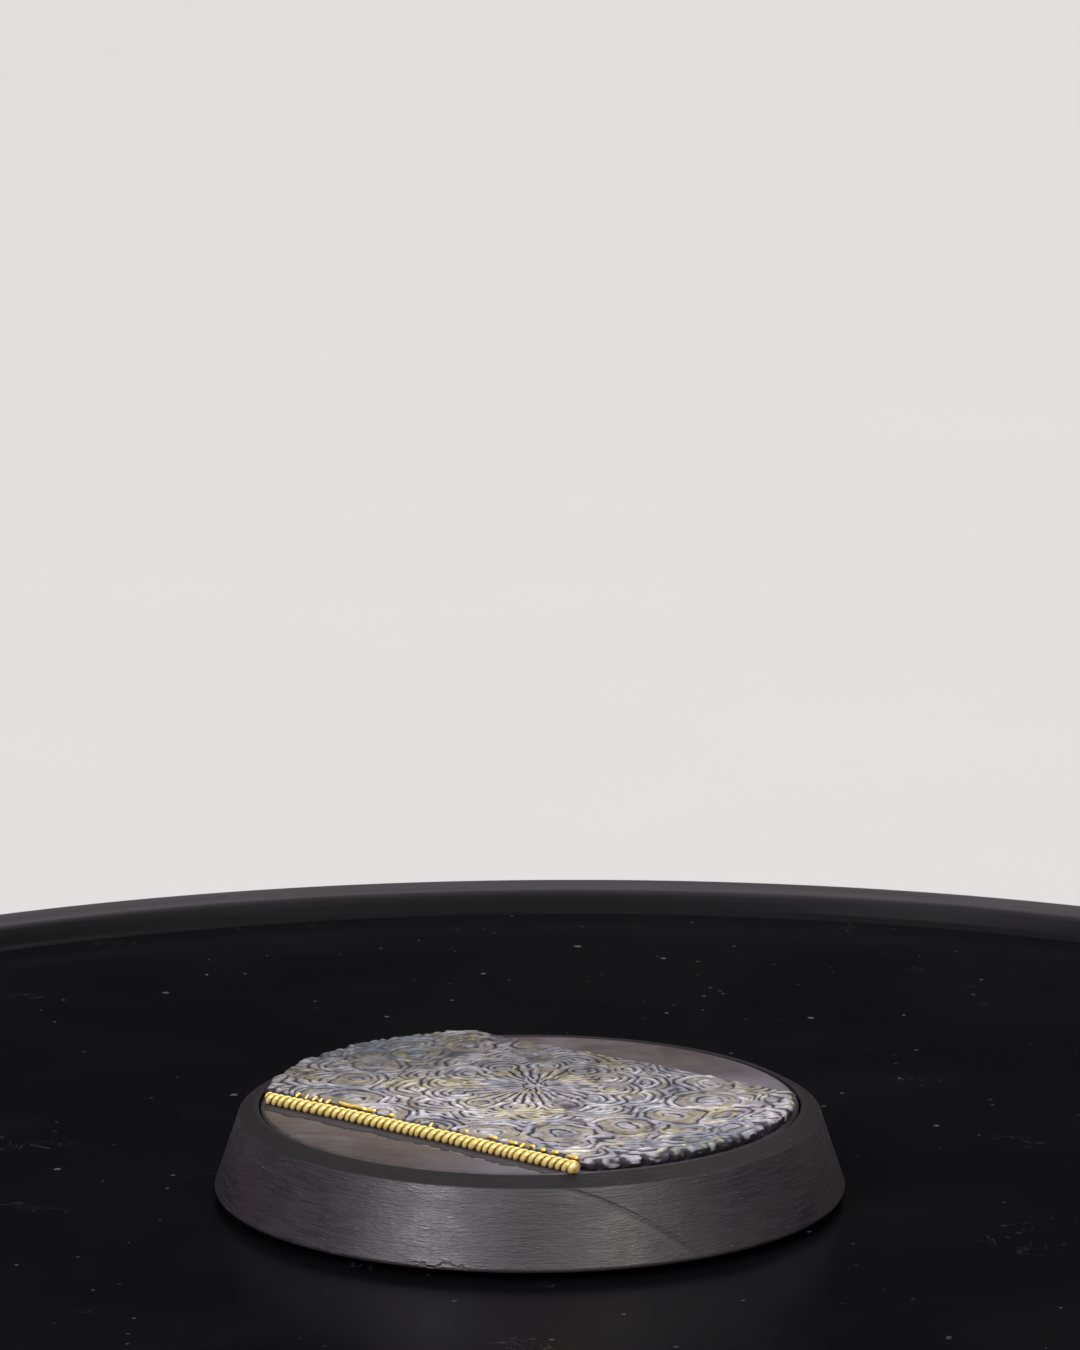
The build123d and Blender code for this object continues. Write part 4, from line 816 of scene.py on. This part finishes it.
def plinth_finish():
    """Satin black paint over a turned form: fine streaks with painted glints along them, a sweeping brush
    line and a chipped foot.
    """
    dark_paint, pale_paint = (0.0155, 0.0132, 0.0160), (0.034, 0.0285, 0.0335)
    warm_paint, painted_glint_grey = (0.036, 0.0265, 0.030), (0.19, 0.17, 0.185)
    shoulder_grey, rubbed_grey = (0.0175, 0.0155, 0.0165), (0.10, 0.09, 0.095)
    stroke_black, stroke_grey = (0.008, 0.007, 0.008), (0.065, 0.056, 0.06)
    crack_black, flake_grey = (0.005, 0.004, 0.005), (0.13, 0.12, 0.125)
    f = Finish("plinth_black")
    radius, angle, z = f.around(INSERT_X, INSERT_Y)
    degrees = f.times(angle, 180 / pi)
    height = f.less(z, PLINTH_LOW[2])
    arc = f.times(angle, PLINTH_BOTTOM_R)
    streak = f.noise(1.0, 4, f.vector(f.times(arc, 0.32), f.times(radius, 1.5), f.times(height, 5.5)))
    glint = f.noise(1.0, 2, f.vector(f.times(arc, 1.3), f.times(radius, 2.0), f.times(height, 9.0)))
    cloud = f.noise(0.09, 4)
    patchy = f.noise(0.28, 4, f.stretched(1.0, 1.0, 1.6))
    tone = f.mix(f.between(streak, 0.3, 0.7), dark_paint, pale_paint)
    tone = f.mix(f.times(f.between(cloud, 0.45, 0.65), 0.6), tone, warm_paint)
    # Painted glints: small paler flecks along the turned streaks, which are also a little glossier.
    spark = f.times(f.between(glint, 0.62, 0.74), f.between(patchy, 0.46, 0.64))
    tone = f.mix(f.times(spark, 0.6), tone, painted_glint_grey)

    # The brush line falls from the shoulder towards the foot over thirty degrees.
    degrees_on = f.add(degrees, 88.0)
    fall = f.times(f.math("POWER", f.largest(degrees_on, 0.0), 1.68), 0.023)
    above = f.less(height, f.less(7.3, fall))
    stroke_here = f.times(f.between(degrees_on, -3, 6), f.between(degrees_on, 31, 24))
    dark = f.times(f.between(f.apart(above), 0.32, 0.06), stroke_here)
    pale = f.times(f.between(f.apart(above, -0.75), 0.5, 0.1), stroke_here)
    tone = f.mix(f.times(dark, 0.75), tone, stroke_black)
    tone = f.mix(f.times(pale, 0.25), tone, stroke_grey)

    # The foot is chipped: a dark crack over a bright flake.
    chip_here = f.times(f.between(degrees, -112.5, -110.5), f.between(degrees, -100, -102))
    crack_at = f.less(height, f.between(f.noise(0.9, 2), 0.3, 0.7, 0.3, 0.75))
    crack = f.times(f.between(f.apart(crack_at), 0.13, 0.04), chip_here)
    flake = f.times(f.between(f.apart(crack_at, -0.2), 0.16, 0.05), chip_here)
    tone = f.mix(f.times(flake, 0.5), tone, flake_grey)
    tone = f.mix(f.times(crack, 0.9), tone, crack_black)

    shoulder = f.between(height, 6.95, 7.2)
    tone = f.mix(f.times(shoulder, 0.8), tone, shoulder_grey)
    edge = f.times(f.edges(0.25), f.between(f.noise(0.8, 3), 0.35, 0.6, 0.2, 1.0))
    tone = f.mix(f.times(edge, 0.4), tone, rubbed_grey)
    shine = f.between(patchy, 0.35, 0.65, 0.50, 0.42)
    shine = f.add(shine, f.times(spark, -0.1), f.times(shoulder, 0.15))
    f.put(f.shader.inputs["Specular IOR Level"], f.between(shoulder, 0, 1, 0.62, 0.08))
    relief = f.add(f.times(streak, 0.6), f.times(glint, 0.8), f.times(dark, -0.8), f.times(crack, -2.0))
    return f.done(tone, shine, f.bump(relief, 0.042, f.bump(patchy, 0.05)))


def felt_finish():
    """Pressed wool felt: short crossed fibres and a soft nap."""
    f = Finish("felt")
    fibres_y = f.noise(5.0, 3, f.stretched(1.0, 0.18, 1.0), distortion=1.5)
    fibres_x = f.noise(5.0, 3, f.stretched(0.18, 1.0, 1.0), distortion=1.5)
    nap = f.largest(fibres_x, fibres_y)
    tone = f.mix(f.between(nap, 0.45, 0.75), (0.008, 0.008, 0.009), (0.05, 0.05, 0.055))
    return f.done(tone, f.between(nap, 0.4, 0.8, 0.85, 0.98), f.bump(nap, 0.12), Sheen_Weight=0.35)


def insert_finish():
    """The scenic disc: brushed mauve-grey paint on top, bluer to the right, over a black edge."""
    mauve, brown, blue = (0.084, 0.063, 0.066), (0.054, 0.041, 0.042), (0.105, 0.092, 0.125)
    pale, speck_grey, rim_brown = (0.17, 0.145, 0.15), (0.23, 0.21, 0.22), (0.030, 0.025, 0.027)
    under_rug, edge_black = (0.014, 0.012, 0.014), (0.015, 0.014, 0.015)
    f = Finish("insert_paint")
    radius = f.around(INSERT_X, INSERT_Y)[0]
    x, y, _ = f.split()
    x, y = f.less(x, INSERT_X), f.less(y, INSERT_Y)
    along = f.add(f.times(x, U_AXIS[0]), f.times(y, U_AXIS[1]))
    aside = f.apart(f.add(f.times(x, V_AXIS[0]), f.times(y, V_AXIS[1])))
    brush = f.noise(1.0, 4, f.stretched(0.25, 1.6, 1.0), distortion=0.8)
    cloud = f.noise(0.16, 4, distortion=0.5)
    speckle = f.noise(2.6, 4)
    tone = f.mix(f.between(brush, 0.3, 0.7), mauve, brown)
    tone = f.mix(f.times(f.between(along, 2, 15), f.between(cloud, 0.35, 0.65, 0.35, 0.9)), tone, blue)
    tone = f.mix(f.times(f.between(cloud, 0.55, 0.75), 0.4), tone, pale)
    tone = f.mix(f.times(f.between(speckle, 0.6, 0.72), 0.3), tone, speck_grey)
    rim = f.times(f.between(radius, INSERT_R - 0.7, INSERT_R - 0.15), f.between(aside, 14.5, 16.5))
    tone = f.mix(f.times(rim, f.between(f.noise(0.7, 3), 0.3, 0.6, 0.3, 1.0), 0.5), tone, rim_brown)
    tone = f.mix(f.times(f.between(aside, 16.5, 14.5), 0.8), tone, under_rug)
    tone = f.mix(f.facing_up(0.5, 0.2), tone, edge_black)
    shine = f.between(cloud, 0.3, 0.7, 0.36, 0.56)
    return f.done(tone, shine, f.bump(f.add(brush, f.times(speckle, 0.5)), 0.025))


def rug_finish():
    """Dry-brushed relief: black in the grooves, lilac, blue and warm greys on the ridges, ochre fields."""
    groove_black, painted_shade_black = (0.009, 0.007, 0.012), (0.019, 0.012, 0.019)
    cool_greys = (0.25, 0.245, 0.285), (0.37, 0.34, 0.355)
    warm_grey, lilac = (0.33, 0.29, 0.19), (0.27, 0.20, 0.33)
    cool_whites, warm_white = ((0.76, 0.76, 0.83), (0.93, 0.90, 0.91)), (0.80, 0.74, 0.56)
    groove_blue, ridge_blue, umber = (0.10, 0.135, 0.20), (0.38, 0.46, 0.58), (0.045, 0.038, 0.032)
    ochres = (0.19, 0.155, 0.09), (0.34, 0.30, 0.20)
    violet_stain, gold = (0.035, 0.026, 0.055), (0.62, 0.44, 0.12)
    f = Finish("rug_paint")
    relief, ochre, shade = f.attribute("relief"), f.attribute("ochre"), f.attribute("shade")
    x, y, _ = f.split()
    x = f.less(x, INSERT_X)
    dab, grain, hue = f.noise(1.5, 4, distortion=0.6), f.noise(5.0, 4), f.noise(0.9, 3)
    warm, cool = f.noise(0.17, 3), f.noise(0.25, 3, f.stretched(1, 1.2, 1))
    uneven = f.add(relief, f.times(f.less(dab, 0.5), 0.26))

    grey = f.mix(f.between(cool, 0.4, 0.6), *cool_greys)
    grey = f.mix(f.between(warm, 0.5, 0.62), grey, warm_grey)
    grey = f.mix(f.times(f.between(hue, 0.54, 0.66), 0.8), grey, lilac)
    crest = f.mix(f.between(cool, 0.4, 0.6), *cool_whites)
    crest = f.mix(f.times(f.between(warm, 0.48, 0.6), 0.8), crest, warm_white)

    # A blue wash lies over the far left edge and the near right edge; at the far left its darker blue is also
    # painted shade.
    far_left_shade = f.times(f.between(x, -6, -13), f.between(y, 8, 15))
    near_right = f.times(f.between(x, 9, 15), f.between(y, -12, -17))
    wash = f.times(f.largest(far_left_shade, near_right), f.between(hue, 0.35, 0.55, 0.4, 1.0))
    grey = f.mix(f.times(wash, 0.8), grey, groove_blue)
    crest = f.mix(f.times(wash, 0.7), crest, ridge_blue)

    # Painted shade: the far side is browner and its ridges less pale, as less light falls there.
    far = f.between(y, 2, 20)
    tone = f.mix(f.between(uneven, 0.40, 0.64), groove_black, grey)
    tone = f.mix(f.times(f.between(uneven, 0.66, 0.98), f.between(far, 0, 1, 1.0, 0.5)), tone, crest)
    tone = f.mix(f.times(f.between(f.noise(0.28, 3), 0.45, 0.6), far, 0.75), tone, umber)
    in_field = f.times(ochre, f.between(uneven, 1.0, 0.8, 0.25, 1.0), f.between(dab, 0.30, 0.5, 0.6, 1.0))
    tone = f.mix(f.times(in_field, 0.7), tone, f.mix(f.between(hue, 0.4, 0.65), *ochres))
    stain = f.times(f.between(f.noise(0.33, 3), 0.56, 0.66), f.between(relief, 0.95, 0.4))
    tone = f.mix(f.times(stain, 0.65), tone, violet_stain)
    # Painted shade: near-black in the sunken strip before the rope, a little on the rug's side, and over the
    # dark border.
    tone = f.mix(f.times(shade, f.between(dab, 0.35, 0.6, 1.0, 0.7)), tone, painted_shade_black)

    # Flecks of gold, most of them on the left.
    left = f.between(x, -4, -16)
    fleck = f.between(f.noise(1.1, 2, f.stretched(1.3, 1, 1)), 0.62, 0.68)
    gilded = f.between(f.add(warm, f.times(left, 0.1)), 0.46, 0.58, 0.1, 0.85)
    tone = f.mix(f.times(fleck, f.between(relief, 0.4, 0.8), gilded), tone, gold)
    # Painted shade: the whole rug is darker towards the far side, where less light falls.
    tone = f.scaled(tone, f.between(y, 14, -15, 0.54, 1.10))
    shine = f.between(uneven, 0.3, 0.95, 0.60, 0.36)
    return f.done(tone, shine, f.bump(grain, 0.02, f.bump(dab, 0.05)))


def gold_finish():
    """Gold paint with a brown wash between the strands and pale edge highlights."""
    wash_brown, gold, pale_gold = (0.085, 0.042, 0.006), (0.74, 0.46, 0.045), (1.0, 0.86, 0.40)
    f = Finish("rope_gold")
    uneven = f.add(f.attribute("crest"), f.times(f.less(f.noise(2.4, 3), 0.5), 0.35))
    tone = f.mix(f.between(uneven, 0.3, 0.65), wash_brown, gold)
    tone = f.mix(f.between(uneven, 0.68, 1.0), tone, pale_gold)
    shine = f.between(uneven, 0.2, 1.0, 0.48, 0.26)
    return f.done(tone, shine, f.bump(f.noise(7.0, 3), 0.012), Metallic=0.35)


def board_finish():
    """Green solder mask over glass cloth, with copper tracks showing through it."""
    dark_mask, mask, track_green = (0.006, 0.055, 0.022), (0.010, 0.085, 0.032), (0.03, 0.16, 0.05)
    laminate = (0.30, 0.27, 0.15)
    f = Finish("board_green")
    axes = f.split()
    weave = f.times(f.math("SINE", f.times(axes[0], 9.0)), f.math("SINE", f.times(axes[2], 9.0)))
    tracks = f.cells(0.42, "Distance", f.stretched(1.0, 0.0, 1.6))
    line = f.between(f.apart(tracks, 0.38), 0.05, 0.03)
    tone = f.mix(f.between(f.noise(0.2, 3), 0.3, 0.7), dark_mask, mask)
    tone = f.mix(f.times(line, 0.6), tone, track_green)
    tone = f.mix(f.times(f.edges(0.2), 0.8), tone, laminate)
    normal = f.bump(line, 0.035, f.bump(weave, 0.01))
    return f.done(tone, f.between(f.noise(0.5, 3), 0.3, 0.7, 0.24, 0.36), normal)


def lens_finish():
    """A tinted light pipe, moulded clear and slightly cloudy."""
    f = Finish("lens_green")
    cloud = f.noise(1.2, 3)
    tone = f.mix(f.between(cloud, 0.3, 0.7), (0.05, 0.42, 0.12), (0.12, 0.60, 0.20))
    rough = f.between(cloud, 0.3, 0.7, 0.06, 0.16)
    return f.done(tone, rough, f.bump(f.noise(2.0, 2), 0.01), Transmission_Weight=0.55, IOR=1.49)


# ---- Print round and on the speed knob ----

KNOB_X, KNOB_Z = (KNOB_LOW[0] + KNOB_HIGH[0]) / 2, (KNOB_LOW[2] + KNOB_HIGH[2]) / 2
KNOB_R = (KNOB_HIGH[0] - KNOB_LOW[0]) / 2
PANEL_FRONT = box_mm("control_panel")[1][1]
KNOB_SWING = radians(135)
TICK_TURN = KNOB_SWING / 5
TICK_HALF_WIDTH = 0.14
TICK_START, TICK_LENGTH = KNOB_R + 0.5, 1.0
POINTER_HALF_WIDTH = 0.4
POINTER_START, POINTER_END = 1.45, KNOB_R - 1.15


def around_knob(f):
    """Seen from behind the stand, from the knob's axis: right, up, the distance, and the place in depth."""
    axes = f.split()
    right, up = f.less(KNOB_X, axes[0]), f.less(axes[2], KNOB_Z)
    return right, up, f.length(right, up), axes[1]


def knob_scale(f):
    """Eleven tick marks on the control panel, over the knob's travel."""
    right, up, radius, depth = around_knob(f)
    swing = f.math("ABSOLUTE", f.math("ARCTAN2", right, up))
    nearest = f.times(f.math("ROUND", f.math("DIVIDE", swing, TICK_TURN)), TICK_TURN)
    aside = f.times(f.apart(swing, nearest), radius)
    off_middle = f.apart(radius, TICK_START + TICK_LENGTH / 2)
    width = f.between(aside, TICK_HALF_WIDTH + 0.03, TICK_HALF_WIDTH - 0.03)
    length = f.between(off_middle, TICK_LENGTH / 2 + 0.05, TICK_LENGTH / 2 - 0.05)
    travel = f.between(swing, KNOB_SWING + 0.07, KNOB_SWING + 0.035)
    on_front = f.between(depth, PANEL_FRONT - 0.2, PANEL_FRONT - 0.1)
    return f.times(width, length, travel, on_front)


def knob_pointer(f):
    """The painted pointer that stands on the knob's face."""
    right, up, _, depth = around_knob(f)
    width = f.between(f.apart(right), POINTER_HALF_WIDTH + 0.04, POINTER_HALF_WIDTH - 0.04)
    inner_end = f.between(up, POINTER_START - 0.05, POINTER_START)
    outer_end = f.between(up, POINTER_END, POINTER_END - 0.05)
    on_face = f.between(depth, KNOB_HIGH[1] - 0.2, KNOB_HIGH[1] - 0.1)
    return f.times(width, inner_end, outer_end, on_face)


# ---- Every material slot's finish ----

moulded("shell_plastic", (0.020, 0.020, 0.022), 0.46, 0.03, 0.3)
moulded("plate_plastic", (0.020, 0.020, 0.021), 0.56, 0.02, 0.24, printed=knob_scale)
rubber("rubber", (0.014, 0.014, 0.014))
platter_finish()
cover_finish()
plinth_finish()
felt_finish()
insert_finish()
rug_finish()
gold_finish()
metal("bearing_steel", (0.56, 0.56, 0.57), 0.26)
metal("balls", (0.72, 0.72, 0.74), 0.12, across=(3.0, 3.0, 3.0), nicks=0.005, tarnish=0.1)
metal("bronze", (0.62, 0.38, 0.17), 0.32)
moulded("nylon", (0.62, 0.60, 0.53), 0.40, 0.01, 0.15, rub=1.12)
moulded("acetal_black", (0.018, 0.018, 0.019), 0.34, 0.008, 0.12)
metal("zinc_steel", (0.60, 0.60, 0.58), 0.30, across=(2.0, 2.0, 2.0), tarnish=0.25)
board_finish()
moulded("white_plastic", (0.66, 0.64, 0.58), 0.38, 0.006, 0.1, rub=1.1)
insulation("red_insulation", (0.42, 0.022, 0.016))
insulation("black_insulation", (0.018, 0.018, 0.018))
metal("contact_brass", (0.78, 0.57, 0.24), 0.26, across=(3.0, 3.0, 3.0))
moulded("switch_black", (0.014, 0.014, 0.015), 0.30, 0.006, 0.12)
moulded("button_grey", (0.16, 0.16, 0.165), 0.42, 0.012, 0.16, rub=1.5)
lens_finish()
moulded("knob_black", (0.017, 0.017, 0.018), 0.40, 0.015, printed=knob_pointer)

for piece in (build_rug(), build_rope(), build_piping(), build_border()):
    piece.data.materials.append(FINISHES[piece["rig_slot"]])
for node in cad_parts.values():
    for held in node.material_slots:
        held.material = FINISHES[held.material.name]

# ---- Floor, light and camera ----

FLOOR_TONE = (0.60, 0.592, 0.58)
FLOOR_HALF = 9.0
BACKDROP_TONE = (0.55, 0.545, 0.54, 1)
DOME_DARK, DOME_BRIGHT = (0.012, 0.012, 0.013, 1), (0.85, 0.85, 0.86, 1)
DOME_RISE = (0.42, 1.0)  # the heights, from 0 level to 1 overhead, between which the dome brightens
# Each sun's name, azimuth, elevation, strength, width and colour.
SUNS = [
    ("key_left", -38, 30, 2.3, 20, (1.0, 0.965, 1.0)),
    ("key_right", 32, 30, 1.35, 20, (1.0, 0.965, 0.93)),
    ("fill", 60, 65, 0.2, 40, (1.0, 1.0, 1.0)),
    ("back", 160, 52, 0.9, 30, (1.0, 1.0, 1.0)),
]
CAMERA_PLACE = (-0.00415, -0.4517, 0.1723)  # metres
CAMERA_DOWN = 9.90  # degrees below level
LENS, SENSOR = 133.33, 36.0  # millimetres


def build_floor():
    """A plain pale floor with a very faint unevenness."""
    mesh = bpy.data.meshes.new("floor")
    corners = [(x * FLOOR_HALF, y * FLOOR_HALF, 0.0) for x, y in ((-1, -1), (1, -1), (1, 1), (-1, 1))]
    mesh.from_pydata(corners, [], [(0, 1, 2, 3)])
    floor = bpy.data.objects.new("floor", mesh)
    scene.collection.objects.link(floor)
    f = Finish("floor")
    cloud = f.noise(0.006, 3)
    tone = f.mix(f.between(cloud, 0.3, 0.7), lighter(FLOOR_TONE, 0.996), lighter(FLOOR_TONE, 1.004))
    mesh.materials.append(f.done(tone, f.between(cloud, 0.3, 0.7, 0.8, 0.9)))


def build_world():
    """A soft dome, bright overhead and dark low down, so that gloss black stays black from the side."""
    world = bpy.data.worlds.new("studio")
    scene.world = world
    world.use_nodes = True
    nodes, links = world.node_tree.nodes, world.node_tree.links
    background = nodes["Background"]
    split = nodes.new("ShaderNodeSeparateXYZ")
    links.new(nodes.new("ShaderNodeTexCoord").outputs["Generated"], split.inputs[0])
    rise = nodes.new("ShaderNodeMapRange")
    rise.interpolation_type = "SMOOTHSTEP"
    links.new(split.outputs["Z"], rise.inputs[0])
    for index, value in enumerate((*DOME_RISE, 0.0, 1.0), 1):
        rise.inputs[index].default_value = value
    dome = nodes.new("ShaderNodeMix")
    dome.data_type = "RGBA"
    links.new(rise.outputs[0], dome.inputs[0])
    dome.inputs[6].default_value = DOME_DARK
    dome.inputs[7].default_value = DOME_BRIGHT
    seen = nodes.new("ShaderNodeMix")
    seen.data_type = "RGBA"
    links.new(nodes.new("ShaderNodeLightPath").outputs["Is Camera Ray"], seen.inputs[0])
    links.new(dome.outputs[2], seen.inputs[6])
    seen.inputs[7].default_value = BACKDROP_TONE
    links.new(seen.outputs[2], background.inputs["Color"])


def build_sun(name, azimuth, elevation, strength, size, colour):
    """A soft sun: azimuth 0 is the camera's side and 90 its right, and all angles are in degrees."""
    data = bpy.data.lights.new(name, "SUN")
    data.energy = strength
    data.angle = radians(size)
    data.color = colour
    lamp = bpy.data.objects.new(name, data)
    scene.collection.objects.link(lamp)
    lamp.rotation_euler = (radians(90 - elevation), 0, radians(azimuth))


def build_camera():
    """The photograph's view: a long lens, close to level, with the floor filling the frame."""
    data = bpy.data.cameras.new("camera")
    data.lens = LENS
    data.sensor_width = SENSOR
    data.clip_end = 100.0
    camera = bpy.data.objects.new("camera", data)
    camera.location = CAMERA_PLACE
    camera.rotation_euler = (radians(90 - CAMERA_DOWN), 0, 0)
    scene.collection.objects.link(camera)
    scene.camera = camera


build_floor()
build_world()
for row in SUNS:
    build_sun(*row)
build_camera()
scene.view_settings.view_transform = "Standard"
